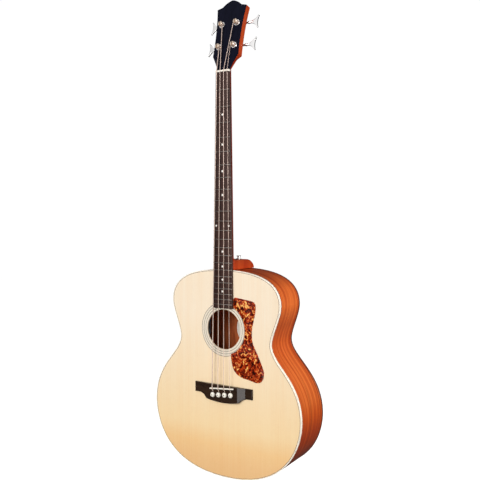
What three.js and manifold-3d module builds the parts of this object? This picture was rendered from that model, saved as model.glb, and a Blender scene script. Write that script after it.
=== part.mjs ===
// Acoustic bass guitar: a jumbo body, a neck with 23 frets, four open geared tuners and four strings.
// Millimetres. +Z runs up the neck, +X to the thin strings' side, -Y out of the front.
// The origin is the middle of the nut's lower edge, in the plane of the soundboard's face.
import * as THREE from 'three';
import { mergeVertices } from 'three/addons/utils/BufferGeometryUtils.js';
import Module from 'manifold-3d';

const wasm = await Module();
wasm.setup();

// Scale, clearances and cutting
const scaleLength = 781;
const fretCount = 23;
const fretsPerOctave = 12;
const octaveRatio = 2;
const fitGap = 0.2;
const runGap = 0.3;
const overrun = 2;
const weldTolerance = 0.001;

// Body outline
const neckDrop = 488;
const bodyLength = 521;
const lowerBoutHalfWidth = 220;
const lowerBoutHeight = 170;
const waistHalfWidth = 136.4;
const waistHeight = 345;
const upperBoutHalfWidth = 162.5;
const upperBoutHeight = 438;
const tailHandleShare = 0.936;
const lowerBoutLowHandleShare = 0.187;
const lowerBoutHighHandleShare = 0.56;
const waistLowHandleShare = 0.26;
const waistHighHandleShare = 0.25;
const upperBoutLowHandleShare = 0.3;
const upperBoutHighHandleShare = 0.62;
const neckEndHandleShare = 0.72;
const outlineSteps = 8;

// Body walls
const rimDepthAtNeck = 93;
const rimDepthAtTail = 124.5;
const soundboardThickness = 3;
const backThickness = 3;
const backArch = 6;
const archCentreHeight = 250;
const archRingShares = [1, 0.6];
const sideThickness = 2.4;
const bindingWidth = 2.4;
const bindingDepth = 6;
const liningWidth = 7;
const liningDepth = 14;
const seamGap = 0.2;

// Blocks inside the body
const neckBlockHalfWidth = 42;
const neckBlockLength = 45;
const tailBlockHalfWidth = 40;
const tailBlockLength = 30;
const tenonHalfWidth = 11;
const tenonLength = 24;
const tenonDepth = 62;

// Braces
const braceWidth = 8;
const braceHeight = 14;
const braceEndHeight = 5;
const braceTaper = 46;
const xBraceDrop = 724;
const xBraceAngle = THREE.MathUtils.degToRad(48);
const upperBraceDrop = 550;
const toneBarDrop = 880;
const toneBarOffset = -18;
const toneBarHalfLength = 108;
const toneBarAngle = THREE.MathUtils.degToRad(70);
const lowerBackBraceShares = [0.49, 0.764];
const backBraceHeight = 15;

// Sound hole, rosette and label
const soundHoleDrop = 637;
const soundHoleRadius = 50;
const rosetteInnerRadius = 52;
const rosetteOuterRadius = 67.5;
const rosetteThickness = 1;
const holeSteps = 20;
const labelHalfWidth = 31;
const labelHalfHeight = 40;
const labelThickness = 0.5;
const labelDrop = 650;
const labelClearance = 6;

// Pickguard
const pickguardThickness = 1.5;
const pickguardLeft = 22;
const pickguardRight = 118;
const pickguardTop = -557;
const pickguardBottom = -759;
const pickguardHoleRadius = 63;
const pickguardPoints = 44;

// Fretboard, frets and nut
const fretboardLength = 584;
const fretboardThickness = 5.8;
const nutHalfWidth = 20.2;
const fretboardEndHalfWidth = 29.4;
const fretWidth = 2.4;
const fretHeight = 1;
const fretCrownWidth = 1.2;
const nutThickness = 5;
const nutSlotHeight = 1.1;
const nutCrown = 1.2;

// Neck and heel
const neckDepthAtNut = 14;
const neckDepthAtHeel = 17;
const neckSectionPoints = 14;
const neckRoundness = 2;
const heelHalfWidth = 30;
const heelDepth = 93;
const heelSquareness = 14;
const heelFilletRadius = 10;
const heelShoulderDrop = 464;
const heelFlatDepth = 56;
const heelSteps = 5;
const trussRodRadius = 3;
const trussRodDepth = 10.5;
const trussRodStart = 8;
const trussNutRadius = 4.4;
const trussNutLength = 12;
const trussSocketRadius = 2.5;
const trussSocketDepth = 7;

// Headstock
const headstockTilt = THREE.MathUtils.degToRad(12.5);
const headstockThickness = 15;
const veneerThickness = 1.5;
const headstockShoulderHalfWidth = 38;
const headstockShoulderHeight = 39;
const headstockThroatHeight = 10;
const headstockFlankHalfWidth = 35;
const headstockFlankHeight = 110;
const headstockTopHalfWidth = 43.8;
const headstockTopHeight = 168.3;
const crownFootHalfWidth = 29.5;
const crownFootHeight = 171.7;
const crownHeight = 187.5;
const crownSteps = 5;
const crownPlaceShares = [[0.88, 0.16], [0.68, 0.48], [0.42, 0.71], [0.2, 0.93]];
const throatBevelDepth = 13;
const throatBevelReach = 18;
const throatBevelFade = 0.35;

// Tuning machines
const postOffset = 22.5;
const lowPostHeight = 63;
const highPostHeight = 123;
const postShaftRadius = 4.9;
const postHeadRadius = 6;
const postWaistRadius = 4.4;
const postCollarHeight = 0.8;
const postWaistLength = 6.3;
const postHeadHeight = 1.8;
const postSlotWidth = 2.6;
const postSlotDepth = 5;
const bushingWall = 1.2;
const bushingFlangeRadius = 8;
const bushingFlangeThickness = 1.6;
const bushingSleeveLength = 8;
const tunerPlateThickness = 1.5;
const tunerPlateHalfWidth = 10;
const tunerPlateBelow = 9;
const tunerPlateAbove = 14;
const wormAxisDepth = 21;
const wormPitchRadius = 3;
const gearPitchRadius = 6;
const gearTeeth = 16;
const gearThickness = 3.4;
const toothRise = 0.5;
const toothFall = 0.85;
const toothShare = 0.36;
const threadShare = 0.26;
const wormTurns = 2;
const wormStepsPerTurn = 10;
const earThickness = 2;
const earOffset = 6.5;
const earHalfWidth = 4.2;
const keyStemRadius = 2.4;
const keyCollarRadius = 3.6;
const keyCollarStart = 18.5;
const keyCollarLength = 4;
const keyNeckRadius = 2.3;
const keyBladeStart = 26;
const keyBladeEnd = 48.5;
const keyBladeHalfHeight = 17.4;
const keyBladeThickness = 3.4;
const keyEndDip = 3;
const roundSteps = 12;
const arcSteps = 7;
const wheelSteps = 20;

// Bridge, saddle and pins
const bridgeTopDrop = 776.4;
const bridgeHalfWidth = 86.5;
const bridgeWingLength = 25.6;
const bridgeBellyHalfWidth = 50;
const bridgeBellyCorner = 37.2;
const bridgeLength = 42.8;
const bridgeCoveEnd = 70;
const bridgeCoveTurn = 56;
const bridgeCoveTurnDrop = 28.2;
const bridgeHeight = 9;
const bridgeWingHeight = 4;
const wingScoopStart = 46;
const wingScoopEnd = 66;
const bridgePlateThickness = 2.5;
const bridgePlateTopDrop = 782;
const bridgePlateLength = 40;
const bridgeSlope = 0.09;
const saddleDrop = 783.5;
const saddleHalfLength = 36;
const saddleThickness = 3.2;
const saddleRise = 3.2;
const saddleSlotDepth = 5;
const pickupThickness = 1;
const pinDrop = 799.3;
const pinSpacing = 18;
const pinShaftRadius = 3.2;
const pinTipRadius = 2.6;
const pinLength = 21;
const pinHeadRadius = 6.4;
const pinHeadHeight = 4.6;
const pinCapShares = [[0.86, 0.55], [0.55, 0.88]];

// Strings, from the thick one to the thin one
const stringNames = ['E', 'A', 'D', 'G'];
const stringRadii = [1.25, 1, 0.8, 0.55];
const stringTurns = [1, 1.5, 2, 3];
const nutSpacing = 10.3;
const saddleSpacing = 17.5;
const stringSides = 6;
const stepsPerTurn = 24;
const windingGap = 0.45;
const ballRadius = 2.5;
const ballLength = 3.4;

// Strap button, jack and electronics
const strapButtonOffset = 8;
const strapButtonDepth = 54;
const strapButtonRadius = 6;
const strapButtonWaist = 3.4;
const strapButtonHeights = [1.4, 2.8, 5.6, 7, 8.4];
const strapScrewRadius = 2;
const strapScrewLength = 16;
const jackDepth = 55;
const jackRadius = 6.2;
const jackFlangeRadius = 9;
const jackFlangeThickness = 3;
const jackLength = 44;
const jackBoreRadius = 3.3;
const jackBoreDepth = 36;
const preampLeft = -67;
const preampRight = -51;
const preampTop = -610;
const preampBottom = -656;
const preampDepth = 12;
const wheelDrops = [619, 647];
const wheelOffset = -52.5;
const wheelRadius = 8;
const wheelThickness = 3;
const wheelFront = 5;
const wheelAxleRadius = 1.5;
const wheelAxleLength = 1.2;

// Places worked out from the sizes above
const bodyTopZ = -neckDrop;
const tailZ = bodyTopZ - bodyLength;
const boardBackY = -fitGap;
const boardFaceY = boardBackY - fretboardThickness;
const nutSlotY = boardFaceY - nutSlotHeight;
const bridgeBackY = -fitGap;
const bridgeFaceY = bridgeBackY - bridgeHeight;
const saddleCrownY = bridgeFaceY - saddleRise;
const wormLead = 2 * Math.PI * gearPitchRadius / gearTeeth;
const wormCentreDistance = wormPitchRadius + gearPitchRadius;
const wormRootRadius = wormPitchRadius - toothFall;
const bushingBoreRadius = postShaftRadius + runGap;
const bushingOuterRadius = bushingBoreRadius + bushingWall;
const veneerFaceY = -fitGap - veneerThickness;
const bushingFaceY = veneerFaceY - fitGap - bushingFlangeThickness;
const postWaistBackY = bushingFaceY - runGap - postCollarHeight;
const postWaistFrontY = postWaistBackY - postWaistLength;

// Materials
function matte(colour, roughness, metalness = 0) {
  return new THREE.MeshStandardMaterial({ color: colour, roughness, metalness });
}

const materials = {
  spruce: matte(0xf2ddb4, 0.35),
  mahogany: matte(0x9c4a20, 0.35),
  neckWood: matte(0x8f3617, 0.35),
  plainWood: matte(0xcaa777, 0.7),
  rosewood: matte(0x3c2722, 0.5),
  blackVeneer: matte(0x0c0e16, 0.12),
  cream: matte(0xf3ead6, 0.3),
  bone: matte(0xf6f3ea, 0.35),
  shell: matte(0x5b1f0e, 0.15),
  paper: matte(0xf4f1e6, 0.85),
  chrome: matte(0xd9dbe0, 0.1, 1),
  steel: matte(0x9a9a9c, 0.35, 1),
  bronze: matte(0xc9a878, 0.35, 1),
  blackPlastic: matte(0x17171a, 0.4),
};

// Closed geometry: vertices welded, slivers without area dropped, faces turned outward
function closed(geometry) {
  const bare = geometry.clone();
  bare.deleteAttribute('normal');
  bare.deleteAttribute('uv');
  const welded = mergeVertices(bare, weldTolerance);
  const place = welded.attributes.position;
  const faces = [];
  let volume = 0;
  for (let i = 0; i < welded.index.count; i += 3) {
    const corners = [0, 1, 2].map((step) => welded.index.getX(i + step));
    if (new Set(corners).size < 3) {
      continue;
    }
    faces.push(corners);
    const [a, b, c] = corners.map((corner) => new THREE.Vector3().fromBufferAttribute(place, corner));
    volume += a.dot(b.cross(c));
  }
  welded.setIndex(faces.flatMap(([a, b, c]) => (volume < 0 ? [a, c, b] : [a, b, c])));
  return welded;
}

function toSolid(geometry) {
  const shell = closed(geometry);
  return new wasm.Manifold(new wasm.Mesh({
    numProp: 3,
    vertProperties: new Float32Array(shell.attributes.position.array),
    triVerts: new Uint32Array(shell.index.array),
  }));
}

function toGeometry(solid) {
  const mesh = solid.getMesh();
  const geometry = new THREE.BufferGeometry();
  geometry.setAttribute('position', new THREE.BufferAttribute(mesh.vertProperties, mesh.numProp));
  geometry.setIndex(new THREE.BufferAttribute(mesh.triVerts, 1));
  return geometry;
}

// A solid less each of the cutters, or a solid joined to each of the others
function cut(geometry, ...cutters) {
  return toGeometry(cutters.reduce((rest, cutter) => rest.subtract(toSolid(cutter)), toSolid(geometry)));
}

function join(geometry, ...others) {
  return toGeometry(others.reduce((sum, other) => sum.add(toSolid(other)), toSolid(geometry)));
}

function shared(geometry, other) {
  return toGeometry(toSolid(geometry).intersect(toSolid(other)));
}

function addPart(parent, name, geometry, material) {
  const mesh = new THREE.Mesh(closed(geometry), material);
  mesh.name = name;
  parent.add(mesh);
  return mesh;
}

// A flat outline in x and z, carried from frontAt(z) to backAt(z)
function slab(shape, frontAt, backAt, curveSegments = arcSteps) {
  const geometry = new THREE.ExtrudeGeometry(shape, { depth: 1, bevelEnabled: false, curveSegments });
  const place = geometry.attributes.position;
  for (let i = 0; i < place.count; i += 1) {
    const z = place.getY(i);
    const share = place.getZ(i);
    place.setXYZ(i, place.getX(i), backAt(z) + share * (frontAt(z) - backAt(z)), z);
  }
  return geometry;
}

function plate(shape, frontY, backY, curveSegments = arcSteps) {
  return slab(shape, () => frontY, () => backY, curveSegments);
}

function box(left, right, frontY, backY, low, high) {
  const geometry = new THREE.BoxGeometry(right - left, backY - frontY, high - low);
  return geometry.translate((left + right) / 2, (frontY + backY) / 2, (low + high) / 2);
}

function circle(radius, x = 0, z = 0) {
  const shape = new THREE.Shape();
  shape.absarc(x, z, radius, 0, 2 * Math.PI, false);
  return shape;
}

// A turned piece: [radius, place] pairs, round the Y, Z or X axis
function turned(profile, axis = 'y', steps = roundSteps) {
  const points = profile.map(([radius, along]) => new THREE.Vector2(radius, along));
  const geometry = new THREE.LatheGeometry(points, steps);
  if (axis === 'z') {
    geometry.rotateX(Math.PI / 2);
  }
  if (axis === 'x') {
    geometry.rotateZ(-Math.PI / 2);
  }
  return geometry;
}

// A skin over rings of equal point counts, closed by a fan at each end
function loft(rings) {
  const count = rings[0].length;
  const points = rings.flat();
  const faces = [];
  for (let ring = 0; ring + 1 < rings.length; ring += 1) {
    for (let i = 0; i < count; i += 1) {
      const a = ring * count + i;
      const b = ring * count + (i + 1) % count;
      faces.push(a, b, b + count, a, b + count, a + count);
    }
  }
  const last = (rings.length - 1) * count;
  for (let i = 1; i + 1 < count; i += 1) {
    faces.push(0, i + 1, i, last, last + i, last + i + 1);
  }
  return new THREE.BufferGeometry().setFromPoints(points).setIndex(faces);
}

// Body outline: the thin strings' half, from the tail up to the neck, and its mirror image
function bodyOutline() {
  const lowerZ = tailZ + lowerBoutHeight;
  const waistZ = tailZ + waistHeight;
  const upperZ = tailZ + upperBoutHeight;
  const lowerRise = waistZ - lowerZ;
  const upperRise = upperZ - waistZ;
  const endRise = bodyTopZ - upperZ;
  const path = new THREE.Path();
  path.moveTo(0, tailZ);
  path.bezierCurveTo(
    tailHandleShare * lowerBoutHalfWidth, tailZ,
    lowerBoutHalfWidth, lowerZ - lowerBoutLowHandleShare * lowerBoutHeight,
    lowerBoutHalfWidth, lowerZ,
  );
  path.bezierCurveTo(
    lowerBoutHalfWidth, lowerZ + lowerBoutHighHandleShare * lowerRise,
    waistHalfWidth, waistZ - waistLowHandleShare * lowerRise,
    waistHalfWidth, waistZ,
  );
  path.bezierCurveTo(
    waistHalfWidth, waistZ + waistHighHandleShare * upperRise,
    upperBoutHalfWidth, upperZ - upperBoutLowHandleShare * upperRise,
    upperBoutHalfWidth, upperZ,
  );
  path.bezierCurveTo(
    upperBoutHalfWidth, upperZ + upperBoutHighHandleShare * endRise,
    neckEndHandleShare * upperBoutHalfWidth, bodyTopZ,
    0, bodyTopZ,
  );
  const half = path.getPoints(outlineSteps);
  const mirrored = half.slice(1, -1).reverse().map((point) => new THREE.Vector2(-point.x, point.y));
  return [...half, ...mirrored];
}

// The outline drawn in by an inset, as a flat section in x and z and as a loop of points
function drawnIn(inset) {
  const whole = new wasm.CrossSection([bodyOutline().map((point) => [point.x, point.y])]);
  return whole.offset(-inset, 'Miter');
}

function drawnInLoop(inset) {
  return drawnIn(inset).toPolygons()[0].map(([x, z]) => new THREE.Vector2(x, z));
}

function rimDepthAt(z) {
  return rimDepthAtNeck + (rimDepthAtTail - rimDepthAtNeck) * (bodyTopZ - z) / bodyLength;
}

// A flat section carried from frontAt(z) to backAt(z)
function sectionSlab(section, frontAt, backAt) {
  const block = wasm.Manifold.extrude(section, 1);
  return toGeometry(block.warp((point) => {
    const z = point[1];
    point[1] = backAt(z) + point[2] * (frontAt(z) - backAt(z));
    point[2] = z;
  }));
}

function outlinePlate(inset, frontY, backY) {
  return sectionSlab(drawnIn(inset), () => frontY, () => backY);
}

// Bands that follow the outline between two insets; side is 1 or -1 where they take one half
function ringBand(outerInset, innerInset, frontAt, backAt) {
  return sectionSlab(drawnIn(outerInset).subtract(drawnIn(innerInset)), frontAt, backAt);
}

function halfBand(outerInset, innerInset, side, frontAt, backAt) {
  const reach = Math.max(lowerBoutHalfWidth, waistHalfWidth, upperBoutHalfWidth) + overrun;
  const half = box(
    side > 0 ? seamGap / 2 : -reach, side > 0 ? reach : -seamGap / 2,
    -overrun, rimDepthAtTail + backArch, tailZ - overrun, bodyTopZ + overrun,
  );
  return shared(ringBand(outerInset, innerInset, frontAt, backAt), half);
}

// The arched back: rings drawn in toward one centre, each lifted by its share of the arch
function archedSlab(inset, frontAt, backAt) {
  const outline = drawnInLoop(inset);
  const centre = new THREE.Vector2(0, tailZ + archCentreHeight);
  const count = outline.length;
  const points = [];
  const rings = archRingShares.length;
  for (const faceAt of [frontAt, backAt]) {
    for (const share of archRingShares) {
      for (const point of outline) {
        const place = centre.clone().lerp(point, share);
        points.push(new THREE.Vector3(place.x, faceAt(place.y, 1 - share * share), place.y));
      }
    }
    points.push(new THREE.Vector3(centre.x, faceAt(centre.y, 1), centre.y));
  }
  const back = rings * count + 1;
  const faces = [];
  const quad = (a, b, c, d) => faces.push(a, b, c, a, c, d);
  for (let i = 0; i < count; i += 1) {
    const j = (i + 1) % count;
    for (let ring = 0; ring + 1 < rings; ring += 1) {
      const outer = ring * count;
      const inner = outer + count;
      quad(outer + i, inner + i, inner + j, outer + j);
      quad(back + outer + j, back + inner + j, back + inner + i, back + outer + i);
    }
    const core = (rings - 1) * count;
    faces.push(core + i, back - 1, core + j);
    faces.push(back + core + j, back + back - 1, back + core + i);
    quad(i, j, back + j, back + i);
  }
  return new THREE.BufferGeometry().setFromPoints(points).setIndex(faces);
}

function backInnerAt(z, lift) {
  return rimDepthAt(z) - backThickness + backArch * lift;
}

// The room inside the body, inset from the outline and clear of soundboard and back
function bodyRoom(inset) {
  const vault = archedSlab(
    bindingWidth + fitGap,
    () => soundboardThickness + fitGap,
    (z, lift) => backInnerAt(z, lift) - fitGap,
  );
  return shared(vault, outlinePlate(inset, 0, rimDepthAtTail + backArch));
}

// Bridge pin places, on a line that slopes like the saddle
function stringShare(index) {
  return index - (stringNames.length - 1) / 2;
}

function pinPlace(index) {
  const x = stringShare(index) * pinSpacing;
  return new THREE.Vector2(x, -pinDrop + bridgeSlope * x);
}

function notchReach(index) {
  return pinShaftRadius + fitGap + stringRadii[index];
}

// What the pin and its string need clear: a round hole and a notch toward the saddle
function pinCutters(index, frontY, backY) {
  const place = pinPlace(index);
  const halfNotch = stringRadii[index] + fitGap;
  return [
    plate(circle(pinShaftRadius + fitGap, place.x, place.y), frontY, backY),
    box(
      place.x - halfNotch, place.x + halfNotch, frontY, backY,
      place.y, place.y + notchReach(index) + halfNotch,
    ),
  ];
}

const stringIndexes = [...stringNames.keys()];

// Soundboard with its sound hole, the rosette's channel and the bridge pin holes
function soundboard() {
  const board = outlinePlate(bindingWidth + fitGap, 0, soundboardThickness);
  const soundHole = plate(
    circle(soundHoleRadius, 0, -soundHoleDrop), -overrun, soundboardThickness + overrun, holeSteps,
  );
  const channel = ringPlate(
    rosetteInnerRadius - fitGap, rosetteOuterRadius + fitGap,
    -overrun, rosetteThickness + fitGap,
  );
  const pinHoles = stringIndexes.flatMap((index) => pinCutters(
    index, -overrun, soundboardThickness + overrun,
  ));
  return cut(board, soundHole, channel, ...pinHoles);
}

function ringPlate(innerRadius, outerRadius, frontY, backY) {
  const shape = circle(outerRadius, 0, -soundHoleDrop);
  shape.holes.push(circle(innerRadius, 0, -soundHoleDrop));
  return plate(shape, frontY, backY, holeSteps);
}

// What passes through the sides: the neck's tenon above, the jack below
function tenonBox(clearance) {
  return box(
    -tenonHalfWidth - clearance, tenonHalfWidth + clearance,
    bindingDepth + fitGap + fitGap - clearance, bindingDepth + tenonDepth + clearance,
    bodyTopZ - tenonLength - clearance, bodyTopZ + overrun,
  );
}

function jackHole() {
  const hole = turned([
    [0, tailZ - overrun],
    [jackRadius + fitGap, tailZ - overrun],
    [jackRadius + fitGap, tailZ + jackLength + overrun],
    [0, tailZ + jackLength + overrun],
  ], 'z');
  return hole.translate(0, jackDepth, 0);
}

function trussRodHole() {
  const high = bodyTopZ - tenonLength + overrun;
  const low = bodyTopZ - sideThickness - fitGap - neckBlockLength - overrun;
  const hole = turned([
    [0, low],
    [trussNutRadius + fitGap, low],
    [trussNutRadius + fitGap, high],
    [0, high],
  ], 'z');
  return hole.translate(0, trussRodDepth, 0);
}

function rimFrontAt() {
  return bindingDepth + fitGap;
}

function rimBackAt(z) {
  return rimDepthAt(z) - bindingDepth - fitGap;
}

function bentSide(side) {
  const band = halfBand(0, sideThickness, side, rimFrontAt, rimBackAt);
  return cut(band, tenonBox(fitGap), jackHole());
}

function addBodyShell(body) {
  addPart(body, 'soundboard', soundboard(), materials.spruce);
  addPart(
    body, 'back_plate',
    archedSlab(bindingWidth + fitGap, backInnerAt, (z, lift) => rimDepthAt(z) + backArch * lift),
    materials.mahogany,
  );
  addPart(body, 'side_bass', bentSide(-1), materials.mahogany);
  addPart(body, 'side_treble', bentSide(1), materials.mahogany);
  addPart(
    body, 'front_binding',
    ringBand(0, bindingWidth, () => 0, () => bindingDepth),
    materials.cream,
  );
  addPart(
    body, 'back_binding',
    ringBand(0, bindingWidth, (z) => rimDepthAt(z) - bindingDepth, rimDepthAt),
    materials.mahogany,
  );
}

// Blocks glued inside the body's two ends
function endBlock(halfWidth, low, high) {
  const block = box(-halfWidth, halfWidth, 0, rimDepthAtTail + backArch, low, high);
  return shared(block, bodyRoom(sideThickness + fitGap));
}

const neckBlockLow = bodyTopZ - sideThickness - fitGap - neckBlockLength;
const tailBlockHigh = tailZ + sideThickness + fitGap + tailBlockLength;

function addBlocks(body) {
  const neckBlock = cut(
    endBlock(neckBlockHalfWidth, neckBlockLow, bodyTopZ),
    tenonBox(fitGap),
    trussRodHole(),
  );
  const tailBlock = cut(endBlock(tailBlockHalfWidth, tailZ, tailBlockHigh), jackHole());
  addPart(body, 'neck_block', neckBlock, materials.plainWood);
  addPart(body, 'tail_block', tailBlock, materials.plainWood);
}

// Linings: the strips that carry the soundboard and the back, from block to block
function lining(side, frontAt, backAt) {
  const outerInset = sideThickness + fitGap;
  const strip = halfBand(outerInset, outerInset + liningWidth, side, frontAt, backAt);
  const low = box(
    -tailBlockHalfWidth - fitGap, tailBlockHalfWidth + fitGap, 0, rimDepthAtTail,
    tailZ, tailBlockHigh + overrun,
  );
  const high = box(
    -neckBlockHalfWidth - fitGap, neckBlockHalfWidth + fitGap, 0, rimDepthAtTail,
    neckBlockLow - overrun, bodyTopZ,
  );
  return cut(strip, low, high);
}

function addLinings(body) {
  const frontStart = soundboardThickness + fitGap;
  const backEnd = backThickness + fitGap;
  for (const [side, sideName] of [[-1, 'bass'], [1, 'treble']]) {
    const front = lining(side, () => frontStart, () => frontStart + liningDepth);
    const back = lining(
      side,
      (z) => rimDepthAt(z) - backEnd - liningDepth,
      (z) => rimDepthAt(z) - backEnd,
    );
    addPart(body, `front_lining_${sideName}`, front, materials.plainWood);
    addPart(body, `back_lining_${sideName}`, back, materials.plainWood);
  }
}

// A brace with tapered ends, from -low to +high along its length, then turned and set in place
function braceBar(low, high, width, angle, x, z) {
  const profile = new THREE.Shape();
  profile.moveTo(-low, 0);
  profile.lineTo(high, 0);
  profile.lineTo(high, braceEndHeight);
  profile.lineTo(high - braceTaper, braceHeight);
  profile.lineTo(braceTaper - low, braceHeight);
  profile.lineTo(-low, braceEndHeight);
  const bar = new THREE.ExtrudeGeometry(profile, { depth: width, bevelEnabled: false });
  bar.translate(0, 0, -width / 2);
  bar.rotateY(-Math.PI / 2);
  bar.rotateY(angle);
  return bar.translate(x, soundboardThickness + fitGap, z);
}

// Half-lap: one brace keeps the half by the soundboard, the other the half away from it
function lapNotch(angle, frontY, backY) {
  const halfWidth = braceWidth / 2 + fitGap;
  const notch = box(-halfWidth, halfWidth, frontY, backY, -braceTaper, braceTaper);
  return notch.rotateY(angle).translate(0, 0, -xBraceDrop);
}

const bracedInset = sideThickness + fitGap + liningWidth + fitGap;

// How far a line runs from the braces' crossing, at an angle from +z, until it is past the linings
function reachAlong(angle) {
  const start = new THREE.Vector2(0, -xBraceDrop);
  const along = new THREE.Vector2(Math.sin(angle), Math.cos(angle));
  const loop = drawnInLoop(bracedInset);
  const crossings = loop.map((from, i) => {
    const edge = loop[(i + 1) % loop.length].clone().sub(from);
    const facing = along.cross(edge);
    const offset = from.clone().sub(start);
    const share = offset.cross(along) / facing;
    return share >= 0 && share <= 1 ? offset.cross(edge) / facing : 0;
  });
  return Math.max(...crossings) + braceWidth;
}

function addSoundboardBraces(body, room) {
  const boardBack = soundboardThickness + fitGap;
  const lapMiddle = boardBack + braceHeight / 2;
  const lapBack = boardBack + braceHeight + overrun;
  const upperArm = reachAlong(xBraceAngle);
  const lowerArm = reachAlong(Math.PI - xBraceAngle);
  const bass = braceBar(lowerArm, upperArm, braceWidth, -xBraceAngle, 0, -xBraceDrop);
  const treble = braceBar(lowerArm, upperArm, braceWidth, xBraceAngle, 0, -xBraceDrop);
  const bassNotch = lapNotch(xBraceAngle, lapMiddle - fitGap / 2, lapBack);
  const trebleNotch = lapNotch(-xBraceAngle, 0, lapMiddle + fitGap / 2);
  addPart(body, 'x_brace_bass', cut(shared(bass, room), bassNotch), materials.plainWood);
  addPart(body, 'x_brace_treble', cut(shared(treble, room), trebleNotch), materials.plainWood);
  const upper = braceBar(
    upperBoutHalfWidth, upperBoutHalfWidth, braceWidth,
    Math.PI / 2, 0, -upperBraceDrop,
  );
  addPart(body, 'upper_brace', shared(upper, room), materials.plainWood);
  const toneBar = braceBar(
    toneBarHalfLength, toneBarHalfLength, braceWidth,
    toneBarAngle, toneBarOffset, -toneBarDrop,
  );
  const tailBlockRoom = box(
    -tailBlockHalfWidth - fitGap, tailBlockHalfWidth + fitGap, 0, rimDepthAtTail,
    tailZ, tailBlockHigh + fitGap,
  );
  addPart(body, 'tone_bar', cut(shared(toneBar, room), tailBlockRoom), materials.plainWood);
}

// Bridge plate: a spread shape between the two lower arms of the crossed braces
function bridgePlate() {
  const top = -bridgePlateTopDrop;
  const armClearance = (braceWidth / 2 + fitGap) / Math.cos(xBraceAngle) + fitGap;
  const halfWidthAt = (z) => (-xBraceDrop - z) * Math.tan(xBraceAngle) - armClearance;
  const shape = new THREE.Shape();
  shape.moveTo(-halfWidthAt(top), top);
  shape.lineTo(-halfWidthAt(top - bridgePlateLength), top - bridgePlateLength);
  shape.lineTo(halfWidthAt(top - bridgePlateLength), top - bridgePlateLength);
  shape.lineTo(halfWidthAt(top), top);
  const front = soundboardThickness + fitGap;
  const back = front + bridgePlateThickness;
  const holes = stringIndexes.flatMap((index) => pinCutters(index, front - overrun, back + overrun));
  return cut(plate(shape, front, back), ...holes);
}

function addBackBraces(body, room) {
  const aboveLabel = labelDrop - labelHalfHeight - labelClearance - braceWidth / 2;
  const below = lowerBackBraceShares.map((share) => neckDrop + share * bodyLength);
  [aboveLabel, ...below].forEach((drop, index) => {
    const front = rimDepthAt(-drop) - backThickness - backBraceHeight;
    const brace = box(
      -lowerBoutHalfWidth, lowerBoutHalfWidth, front, rimDepthAtTail + backArch,
      -drop - braceWidth / 2, -drop + braceWidth / 2,
    );
    addPart(body, `back_brace_${index + 1}`, shared(brace, room), materials.plainWood);
  });
}

// Rosette ring let into the soundboard, and the paper label glued inside the back
function addRosetteAndLabel(body) {
  const ring = ringPlate(rosetteInnerRadius, rosetteOuterRadius, 0, rosetteThickness);
  addPart(body, 'rosette', ring, materials.cream);
  const oval = new THREE.Shape();
  oval.absellipse(0, -labelDrop, labelHalfWidth, labelHalfHeight, 0, 2 * Math.PI, false, 0);
  const paper = plate(oval, 0, rimDepthAtTail + backArch, holeSteps / 2);
  const layer = archedSlab(
    bindingWidth + fitGap,
    (z, lift) => backInnerAt(z, lift) - fitGap - labelThickness,
    (z, lift) => backInnerAt(z, lift) - fitGap,
  );
  addPart(body, 'label', shared(paper, layer), materials.paper);
}

// Pickguard: a smooth outline round the rosette's thin-string side, cut back from the rosette
function pickguard() {
  const outlineShares = [
    [0.05, 0.9], [0.1, 1], [0.42, 0.99], [0.7, 0.965], [0.75, 0.88], [0.69, 0.74], [0.64, 0.62],
    [0.66, 0.48], [0.82, 0.33], [0.96, 0.19], [1, 0.11], [0.94, 0.03], [0.8, 0],
    [0.55, 0.02], [0.32, 0.04], [0.14, 0.09], [0.04, 0.18], [0, 0.34], [0.02, 0.6],
  ];
  const points = outlineShares.map(([across, up]) => new THREE.Vector3(
    pickguardLeft + across * (pickguardRight - pickguardLeft),
    pickguardBottom + up * (pickguardTop - pickguardBottom),
    0,
  ));
  const curve = new THREE.CatmullRomCurve3(points, true);
  const outline = curve.getPoints(pickguardPoints).slice(0, -1);
  const sheet = plate(new THREE.Shape(outline), -fitGap - pickguardThickness, -fitGap);
  const rosetteSide = plate(
    circle(pickguardHoleRadius, 0, -soundHoleDrop),
    -overrun - pickguardThickness, overrun, holeSteps,
  );
  const boardHalfWidth = halfWidthAt(-fretboardLength) + fitGap;
  const board = box(
    -boardHalfWidth, boardHalfWidth, -overrun - pickguardThickness, overrun,
    -fretboardLength - fitGap, bodyTopZ,
  );
  return cut(sheet, rosetteSide, board);
}

// Fretboard: a side view with a crown at each fret, spread to the board's taper
function halfWidthAt(z) {
  return nutHalfWidth - (fretboardEndHalfWidth - nutHalfWidth) * z / fretboardLength;
}

function fretPlace(fret) {
  return -scaleLength * (1 - octaveRatio ** (-fret / fretsPerOctave));
}

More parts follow.
